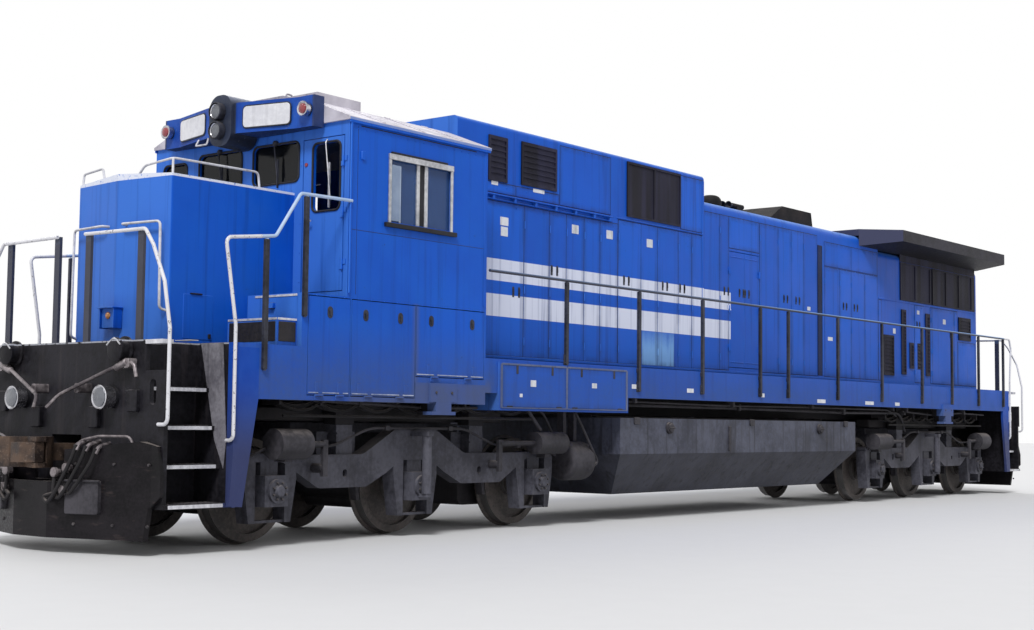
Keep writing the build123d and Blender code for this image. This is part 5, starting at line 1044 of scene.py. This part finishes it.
grip.pipe([(8.37, -0.42, 4.15), (8.41, -0.42, 4.08), (8.41, -0.24, 4.08), (8.39, -0.24, 4.15)],
          0.010, 8, 0.02)
place_all(shells, rims, red, clear, boards, board_rims, grip)


# Side boxes: battery and equipment boxes under the sill behind the cab, welded plate in body colour,
# with two lids a side held by toggle latches, dusty borders and small plain plates.
box_blue = blue_paint("side_box_blue", dusty=0.7)
dress(box_blue, "side_boxes")
BOX_OUT = 1.545
lids = Stock("side_box_lids", box_blue, "blue_paint")
lid_latches = Stock("side_box_latches", latch_iron, "black_paint")
box_border = dirty_steel("dusty_box_border", (70, 84, 124), (96, 106, 138), 0.55, dust=0.4)
borders = Stock("side_box_borders", box_border, "blue_paint")
for low, high in ((4.47, 5.62), (3.23, 4.40)):
    middle = (low + high) / 2
    long = high - low
    lids.bars(BOX_OUT, (middle, 1.60, long, 0.46, 0.006, 0.02, 0.002, 0.0, 0.07, 0.3))
    borders.bars(BOX_OUT, (middle, 1.845, long + 0.05, 0.022, 0.009, 0.004),
                 (middle, 1.359, long + 0.05, 0.014, 0.009, 0.004))
    for x in (low + 0.25, high - 0.25):
        lid_latches.bars(BOX_OUT + 0.006, (x, 1.79, 0.04, 0.10, 0.003, 0.008))
        lid_latches.bars(BOX_OUT + 0.008, (x, 1.77, 0.025, 0.06, 0.003, 0.008))
    for x in (low + 0.12, high - 0.12):
        for side in BOTH:
            lid_latches.pipe([(x + end, side * (BOX_OUT + 0.001), 1.375) for end in (-0.05, 0.05)], 0.009)
borders.bars(BOX_OUT, *[(x, 1.60, 0.035, 0.49, 0.008, 0.004) for x in (5.645, 4.435, 3.205)])
plates = Stock("blank_plates", plain_white, "white_paint")
plates.bars(BOX_OUT + 0.006, *[(x, z, wide, tall, 0.003, 0.004, 0.001) for x, z, wide, tall in (
    (5.078, 1.64, 0.10, 0.075), (3.892, 1.645, 0.10, 0.06), (5.30, 1.50, 0.05, 0.04))])
place_all(lids, borders, lid_latches)


# Hoods: bolted sheet doors on steel frames, in body colour with two broad off-white stripes; each door
# leaf stands a little proud, with dark rubber in the joints, flush latches, hinges and bolt rows.
STRIPES = ((-0.2, 5.9, 2.84, 3.095), (-0.2, 5.9, 2.425, 2.685))
hood_paint = blue_paint("hood_blue", STRIPES, ((1.36, 2.13, 1.975, 2.42),), 0.2)
dress(hood_paint, "blower_hood", "engine_hood", "radiator_hood",
      *[f"hood_door_{end}_{side_name}" for end, _ in ENDS for side_name, _ in SIDES])
# Dark joint rubber, also used as painted shade over the hood's expansion joint.
joint_rubber_and_shade = dirty_steel("joint_rubber_and_shade", (14, 26, 58), (26, 40, 82), 0.6, dust=0.2)
BLOWER = 1.04
HOOD = 1.0
JOINT = 0.009
PROUD = 0.004
TALL_LEAF = 1.2
BOLT_PITCH = 0.3
TONE_SPREAD = 37.7
LEAVES = (
    # half width of the hood, low z, high z, the joints from front to rear
    (BLOWER, 1.975, 3.765, (5.855, 4.64, 4.142, 3.80, 3.43, 3.086, 2.693)),
    (BLOWER, 1.975, 3.825, (2.685, 2.162, 1.768, 1.256, 0.916, 0.61)),
    (BLOWER, 3.87, 4.60, (3.94, 2.86)),
    (BLOWER, 3.87, 4.60, (1.20, 0.61)),
    (BLOWER, 3.87, 3.985, (5.855, 4.80, 3.955)),
    (HOOD, 1.985, 4.19, (0.59, 0.11, -0.14)),
    (HOOD, 3.745, 4.19, (-0.145, -1.015)),
    (HOOD, 1.985, 4.19, (-1.02, -1.58, -1.99, -2.388, -2.83)),
    (HOOD, 1.985, 3.72, (-3.07, -3.60, -4.01, -4.50, -4.99)),
    (HOOD, 3.745, 4.12, (-3.07, -4.01, -4.99)),
    (HOOD, 1.985, 3.34, (-5.01, -5.14)),
    (HOOD, 1.985, 3.34, (-6.45, -6.85)),
    (HOOD, 1.985, 3.34, (-7.12, -7.18, -8.18, -8.33)),
    (HOOD, 1.985, 2.78, (-8.34, -9.19)),
)
leaves = Stock("hood_door_leaves", hood_paint, "blue_paint")
joints = Stock("hood_joint_rubber", joint_rubber_and_shade, "black_paint")
hinges = Stock("hood_hinges", hood_paint, "blue_paint")
hood_bolts = []
for half, low, high, stations in LEAVES:
    tall = high - low
    middle_z = (low + high) / 2
    for front, rear in zip(stations, stations[1:]):
        wide = front - rear
        tone = 0.5 + 0.5 * math.sin(front * TONE_SPREAD)
        leaves.bars(half, ((front + rear) / 2, middle_z, wide - JOINT, tall, PROUD, 0.012, 0.002, 0.003,
                           min(0.07, wide / 3), tone))
        count = max(2, int(wide / BOLT_PITCH))
        for side in BOTH:
            if tall > TALL_LEAF:
                for z in (low + 0.18, middle_z - 0.1, high - 0.22):
                    hinges.pipe([(front - 0.012, side * (half + 0.009), z + end) for end in (-0.045, 0.045)],
                                0.008, 6)
            for step in range(count):
                x = rear + wide * (step + 0.5) / count
                hood_bolts.append(((x, side * half, low - 0.022), (0, side, 0)))
                hood_bolts.append(((x, side * (half + PROUD), high - 0.04), (0, side, 0)))
    strips = [(x, middle_z, JOINT, tall + 0.004) for x in stations]
    strips += [((stations[0] + stations[-1]) / 2, z, stations[0] - stations[-1], JOINT)
               for z in (low - 0.005, high + 0.005)]
    joints.bars(half, *[(*strip, 0.0012, 0.002, 0.0004) for strip in strips])
bolts("hood_bolts", hood_bolts, 0.009, 0.006, hood_paint)
LATCHES = (
    # half width of the hood, or the door's name, and (x, z) of each latch half
    (BLOWER, None, (4.04, 3.05), (2.50, 3.05), (1.59, 3.05), (1.16, 3.05), (4.78, 2.73)),
    (HOOD, None, (-0.07, 3.11), (-1.81, 3.12), (-2.19, 3.12), (-3.78, 3.14), (-4.17, 3.14), (-6.60, 3.0),
     (-8.05, 2.9)),
    (HOOD, "hood_door_front", (-0.50, 3.11)),
    (HOOD, "hood_door_rear", (-0.66, 3.11)),
)
for side_name, side in SIDES:
    gathered = {}
    for half, door, *places in LATCHES:
        body = f"{door}_{side_name}" if door else "carbody"
        if body not in gathered:
            gathered[body] = Stock(f"hood_latches_{body}_{side_name}", latch_iron, "black_paint", body)
        for x, z in places:
            for offset in (-0.055, 0.055):
                seat = on_side(x + offset, half if door else half + PROUD, z, side)
                gathered[body].plate(seat, 0.036, 0.125, 0.004, 0.01)
                gathered[body].plate(moved(seat, 0, 0.01, 0.003), 0.016, 0.07, 0.012, 0.006)
    place_all(*gathered.values())
    for door, x in (("hood_door_front", -0.367), ("hood_door_rear", -0.793)):
        body = f"{door}_{side_name}"
        stiffeners = Stock(f"{body}_stiffeners", hood_paint, "blue_paint", body)
        for z in (2.10, 3.62):
            stiffeners.plate(on_side(x, HOOD, z, side), 0.38, 0.012, 0.006, 0.004)
        stiffeners.placed()
PLATES = (
    # half width of the hood, and x, z, width and height of each plate
    (BLOWER, (5.015, 3.545, 0.15, 0.10), (5.013, 3.425, 0.13, 0.11), (3.62, 3.60, 0.14, 0.11),
     (2.88, 3.61, 0.14, 0.11), (1.96, 3.59, 0.14, 0.11), (4.365, 3.982, 0.22, 0.045),
     (5.20, 3.975, 0.12, 0.045)),
    (HOOD, (-3.263, 2.585, 0.16, 0.06), (-2.55, 3.02, 0.10, 0.06), (-5.62, 2.84, 0.10, 0.09),
     (-6.60, 3.22, 0.10, 0.07), (-7.73, 3.12, 0.12, 0.09)),
)
for half, *rows in PLATES:
    plates.bars(half + PROUD, *[(*row, 0.003, 0.006, 0.001) for row in rows])
channels = Stock("hood_drip_rails", hood_paint, "blue_paint")
expansion_joint_shade = Stock("hood_expansion_joint_shade", joint_rubber_and_shade, "black_paint")
channels.bars(BLOWER, (4.105, 3.835, 2.50, 0.012, 0.05, 0.004), (4.105, 3.785, 2.50, 0.010, 0.032, 0.004),
              (1.67, 3.848, 2.10, 0.016, 0.014, 0.004), (3.23, 1.955, 5.24, 0.03, 0.012, 0.004),
              (0.628, 3.3, 0.035, 2.6, 0.012, 0.006),
              *[(x, 3.81, 0.035, 0.07, 0.045, 0.004) for x in (5.25, 4.85, 4.45, 4.05, 3.65, 3.25, 2.91)])
channels.bars(HOOD, (-3.03, 3.02, 0.05, 2.06, 0.010, 0.008), (-7.1, 3.365, 4.18, 0.03, 0.012, 0.004),
              (-2.2, 1.955, 5.58, 0.03, 0.012, 0.004))
# Painted shade: dark plates over the expansion joint stand for the shade in its hollow.
expansion_joint_shade.bars(HOOD, (-2.95, 3.02, 0.12, 2.06, 0.003, 0.01), (-2.86, 3.02, 0.03, 2.06, 0.014, 0.008))
place_all(leaves, joints, hinges, plates, channels, expansion_joint_shade)


# Grilles: pressed louvres and wire screens in dark paint, dusty on their lips; the screens are woven
# wire over radiator cores, so they show as a fine dark grain with a painted vertical sheen. A dark
# strip above the radiator screens paints the shade under the canopy.
finish = Finish("grille_black")
sheen_streaks = finish.noise(1.5, 2.0, (3.0, 3.0, 0.2))
weave_x, weave_z = [
    finish.node("TexWave", {"wave_type": "BANDS", "bands_direction": way},
                {"Vector": finish.place, "Scale": 22.0}).out("Fac") for way in "XZ"]
weave = weave_x.maths("MAXIMUM", weave_z)
# Painted sheen: the stretched noise lays soft lighter vertical streaks over the dark.
finish.base(sheen_streaks.step(0.35, 0.7), (16, 15, 22), (40, 40, 62))
finish.coat(weave.step(0.5, 0.95) * 0.25, (60, 58, 74))
finish.coat(finish.upward.step(0.3, 0.9) * 0.4, (84, 76, 78))
grille_black = finish.finished(finish.noise(2.4) * 0.2 + 0.5, 0.0, weave, 0.003, 0.15)
dress(grille_black, "grilles")
LOUVRE_X = -6.648
surrounds_and_shade = Stock("radiator_screen_surrounds_and_shade", grille_black, "black_paint")
# The long top strip is a dark plate that paints the shade under the canopy; the others are screen frames and
# the louvre surround.
surrounds_and_shade.bars(HOOD, (-7.51, 4.129, 3.30, 0.142, 0.004, 0.006), (-7.145, 3.721, 0.10, 0.662, 0.004, 0.006),
               (-9.074, 3.721, 0.172, 0.662, 0.004, 0.006), (LOUVRE_X, 2.445, 0.18, 0.46, 0.008, 0.008))
surrounds_and_shade.bars(HOOD + 0.006, *[(LOUVRE_X, 2.262 + count * 0.061, 0.14, 0.034, 0.011, 0.004, 0.009)
                               for count in range(7)])
surrounds_and_shade.placed()


# Radiator canopy: a flat steel wing in black, sooty on top, painted paler on its slanted front corners
# as painted light and darker underneath as painted shade, with slatted air outlets bolted along the top.
finish, cloud, fine = clouded("canopy_black", 1.5, 26.0)
finish.base(cloud.step(0.35, 0.7), (26, 25, 32), (46, 44, 56))
# Painted light on faces turned forward, painted shade on faces that look down.
finish.coat(finish.ahead.step(0.4, 0.6) * 0.85, (62, 66, 94))
finish.coat((finish.upward * -1).step(0.2, 0.6) * 0.7, (16, 15, 20))
finish.coat(finish.upward.step(0.5, 0.9) * (cloud * 0.6 + 0.2), (92, 86, 88))
canopy_black = finish.finished(fine * 0.3 + 0.42, 0.0, fine, 0.004, 0.25)
dress(canopy_black, "radiator_canopy")
CANOPY_TOP = 4.457
OUTLETS = (
    # x low, x high
    (-6.9, -5.3), (-8.9, -7.3))
outlets = Stock("canopy_outlet_frames", canopy_black, "black_paint")
for low_x, high_x in OUTLETS:
    for side in BOTH:
        for x in (low_x, high_x):
            outlets.plate(on_top(x, side * 0.8, CANOPY_TOP), 0.05, 1.15, 0.05, 0.006)
        for y in (0.25, 1.35):
            outlets.plate(on_top((low_x + high_x) / 2, side * y, CANOPY_TOP), 1.65, 0.05, 0.05, 0.006)
outlets.placed()
SLATS, given = started_tree("slat_row", {
    "Start": "Geometry", "Pitch": "Float", "Length": "Float", "Thickness": "Float", "Height": "Float",
    "Count": "Int", "Finish": "Material"})
size = made_node(SLATS, "ShaderNodeCombineXYZ", None,
                 {"X": given["Thickness"], "Y": given["Length"], "Z": given["Height"]})
slat = made_node(SLATS, "GeometryNodeMeshCube", None, {"Size": size})
pitch = made_node(SLATS, "ShaderNodeCombineXYZ", None, {"X": given["Pitch"]})
line = made_node(SLATS, "GeometryNodeMeshLine", None, {"Count": given["Count"], "Offset": pitch})
row = made_node(SLATS, "GeometryNodeInstanceOnPoints", None,
                {"Points": line, "Instance": slat, "Rotation": (0, math.radians(28), 0)})
rows = made_node(SLATS, "GeometryNodeInstanceOnPoints", None, {"Points": given["Start"], "Instance": row})
closed_tree(SLATS, rows, given["Finish"])
starts = bpy.data.meshes.new("outlet_starts")
SLAT_Z = RAIL + CANOPY_TOP + 0.02
starts.from_pydata([(low_x + 0.05, side * 0.8, SLAT_Z) for low_x, _ in OUTLETS for side in BOTH], [], [])
grown("canopy_outlet_slats", SLATS, starts,
      {"Pitch": 0.05, "Length": 1.06, "Thickness": 0.004, "Height": 0.034, "Count": 31,
       "Finish": canopy_black},
      "carbody")


# Roof gear: exhaust stack in bare scaled steel with soot round its mouth, a bell under a domed guard
# and a cluster of horns, all bolted to the engine hood's top beside its access hatches.
finish, cloud, fine = clouded("scaled_stack_steel", 3.2, 38.0)
finish.base((cloud * 0.6 + fine * 0.4).step(0.36, 0.64), (18, 17, 19), (44, 39, 38))
finish.coat(cloud.step(0.58, 0.75) * 0.4, (80, 56, 44))
mouth = finish.x.between(-3.60, -2.88, 0.01) * (1 - finish.y.size().step(0.29, 0.30))
finish.coat(mouth * finish.z.step(4.69, 4.695), (9, 8, 9))
dress(finish.finished(fine * 0.2 + 0.6, 0.1, fine, 0.006, 0.2), "roof_fittings")
hatches = Stock("engine_hood_hatches", hood_paint, "blue_paint")
hatch_bolts = []
HOOD_TOP = 4.35
BLOWER_TOP = 4.675
HATCHES = (
    # z, width, thickness, corner, chamfer, bolt inset, y of the bolts, and (x, length) of each hatch
    (HOOD_TOP, 1.3, 0.02, 0.04, 0.005, 0.04, (0.2, 0.55), (0.1, 0.85), (-1.6, 0.7)),
    (CANOPY_TOP, 0.9, 0.015, 0.03, 0.004, 0, (), (-4.3, 0.36), (-4.75, 0.36)),
    (BLOWER_TOP, 1.5, 0.012, 0.05, 0.004, 0.05, (0.2, 0.65), (4.9, 1.5), (3.2, 1.5), (1.5, 1.4)),
)
for z, wide, thick, corner, chamfer, inset, bolt_ys, *places in HATCHES:
    for x, long in places:
        hatches.plate(on_top(x, 0, z), long, wide, thick, corner, chamfer)
        hatch_bolts += [((x + sx * (long / 2 - inset), sy * y, z + thick), (0, 0, 1))
                        for sx, sy in CORNERS for y in bolt_ys]
STAPLE = ((0.3, 0.01), (0.3, 0.07), (0.42, 0.07), (0.42, 0.01))
for x in (-0.1, 0.3, -1.8, -1.4):
    hatches.pipe([(x, y, HOOD_TOP + rise) for y, rise in STAPLE], 0.010, 8, 0.03)
bolts("hatch_bolts", hatch_bolts, 0.012, 0.008, hood_paint)
horn_mouths = Stock("horn_bells", latch_iron, "black_paint")
BELL = ((0.0, 0.8), (0.06, 1.1), (0.10, 1.45), (0.108, 1.45), (0.09, 1.1), (0.05, 0.5))
for y, radius in ((0.315, 0.034), (0.42, 0.044), (0.525, 0.038)):
    horn_mouths.turned(on_end(-1.03, y, 4.50), [(depth, radius * share) for depth, share in BELL])
place_all(hatches, horn_mouths)


# Handrails: steel pipe on round posts, dark but for a painted pale blue highlight on the tops of the
# high rails that grows towards the rear, and white with many chips on the rails beside the steps.
finish, cloud, fine = clouded("handrail_paint", 4.0, 34.0)
height = finish.z
beyond = finish.x.size()
dark = finish.mix(cloud, (26, 28, 40), (52, 55, 74))
pale_lit_top = finish.mix(cloud, (84, 132, 204), (142, 182, 226))
# Painted highlight: pale blue on the tops of the high rails, more towards the rear; the rest stays dark as
# painted shade.
high_rail = height.step(2.835, 2.845) * (finish.outward * -1 + finish.upward).step(-2, 0)
rail = finish.upward.step(-0.2, 0.7) * ((1 - finish.x.step(-3.2, 1.4)) * 0.6 + 0.3)
finish.base(high_rail * rail, dark, pale_lit_top)
chipped = finish.mix(fine.step(0.60, 0.66) * 0.75, finish.mix(cloud, (196, 196, 204), (228, 228, 232)),
                     (70, 64, 72))
bent = finish.x.step(7.9, 7.95) * (1 - finish.x.step(9.19, 9.21)) * height.step(2.87, 2.885)
posts = finish.x.between(8.612, 8.648, 0.001) * (1 - height.step(3.345, 3.35))
finish.coat(bent * (1 - posts) * 0.9, finish.mix(cloud, (128, 170, 222), (206, 218, 234)))
end_rail = beyond.step(10.1908, 10.1915)
wall_rail = beyond.step(9.19, 9.21) * finish.y.size().step(1.38, 1.40)
finish.coat((end_rail + wall_rail * (1 - end_rail)).maths("MAXIMUM", 0).maths("MINIMUM", 1), chipped)
dress(finish.finished(fine * 0.2 + 0.36, 0.0, fine, 0.002), "side_handrails", "end_handrails")
SILL_FOOT = 1.60
LEVEL_RAIL = 2.85
POSTS = [
    # x, foot and top of each post's bar
    (8.63, 2.19, 3.35), (9.13, 1.66, 2.885), (4.435, 1.88, LEVEL_RAIL)]
POSTS += [(x, SILL_FOOT, LEVEL_RAIL) for x in (
    2.92, 1.42, -0.11, -0.92, -2.475, -4.01, -5.55, -6.80, -7.99, -9.17)]
brackets = Stock("handrail_feet", latch_iron, "black_paint")
sleeves = Stock("handrail_post_bars", latch_iron, "black_paint")
foot_bolts = []
for x, foot, top in POSTS:
    sleeves.bars(1.518, (x, (foot + top) / 2, 0.05, top - foot, 0.037, 0.008, 0.004))
    if top == LEVEL_RAIL:
        brackets.bars(WALL, (x, foot + 0.06, 0.075, 0.13, 0.014, 0.01))
        foot_bolts += [((x + offset, side * 1.534, foot + rise), (0, side, 0))
                       for side in BOTH for rise in (0.02, 0.10) for offset in (-0.027, 0.027)]
        if foot == SILL_FOOT:
            brackets.bars(WALL, (x, 1.86, 0.075, 0.06, 0.014, 0.01))
place_all(brackets, sleeves)
bolts("handrail_foot_bolts", foot_bolts, 0.008, 0.008, bolt_iron)


# Studio: a pale floor under soft lamps, one strong and high at the left front and a broad one behind,
# with a white world that shines weakly but shows white.
finish = Finish("studio_floor")
finish.base(finish.noise(3.0), (0.66, 0.66, 0.67, 1), (0.69, 0.69, 0.70, 1))
FLOOR_HALF = 120
floor_mesh = bpy.data.meshes.new("floor")
floor_mesh.from_pydata([(FLOOR_HALF * x, FLOOR_HALF * y, 0) for x, y in ((-1, -1), (1, -1), (1, 1), (-1, 1))],
                       [], [(0, 1, 2, 3)])
floor_mesh.materials.append(finish.finished(0.9))
floor = bpy.data.objects.new("floor", floor_mesh)
bpy.context.scene.collection.objects.link(floor)
floor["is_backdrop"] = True

LAMPS = (
    # name, direction that the light comes from, strength, spread in degrees
    ("key", (0.60, 0.38, 0.78), 2.3, 14),
    ("fill", (-0.5, -0.75, 0.55), 0.9, 40),
)
for name, towards, strength, spread in LAMPS:
    light = bpy.data.lights.new(name, "SUN")
    light.energy = strength
    light.angle = math.radians(spread)
    lamp = bpy.data.objects.new(name, light)
    lamp.rotation_euler = Vector(towards).to_track_quat("Z", "Y").to_euler()
    bpy.context.scene.collection.objects.link(lamp)

WORLD_LIGHT = 0.5
world = bpy.data.worlds.new("studio")
world.use_nodes = True
sky = world.node_tree
ray = made_node(sky, "ShaderNodeLightPath").outputs
shown = made_node(sky, "ShaderNodeMath", {"operation": "MAXIMUM"},
                  {0: ray["Is Glossy Ray"], 1: ray["Is Transmission Ray"]})
seen = made_node(sky, "ShaderNodeMath", {"operation": "MAXIMUM"}, {0: ray["Is Camera Ray"], 1: shown})
brightness = made_node(sky, "ShaderNodeMapRange", None, {"Value": seen, "To Min": WORLD_LIGHT, "To Max": 1.0})
backdrop = sky.nodes["Background"].inputs
backdrop["Color"].default_value = (1, 1, 1, 1)
sky.links.new(brightness.outputs[0], backdrop["Strength"])
bpy.context.scene.world = world

boxes = {"cad": [list(corner) for corner in CAD_BOX], "visual": [list(corner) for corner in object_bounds()]}
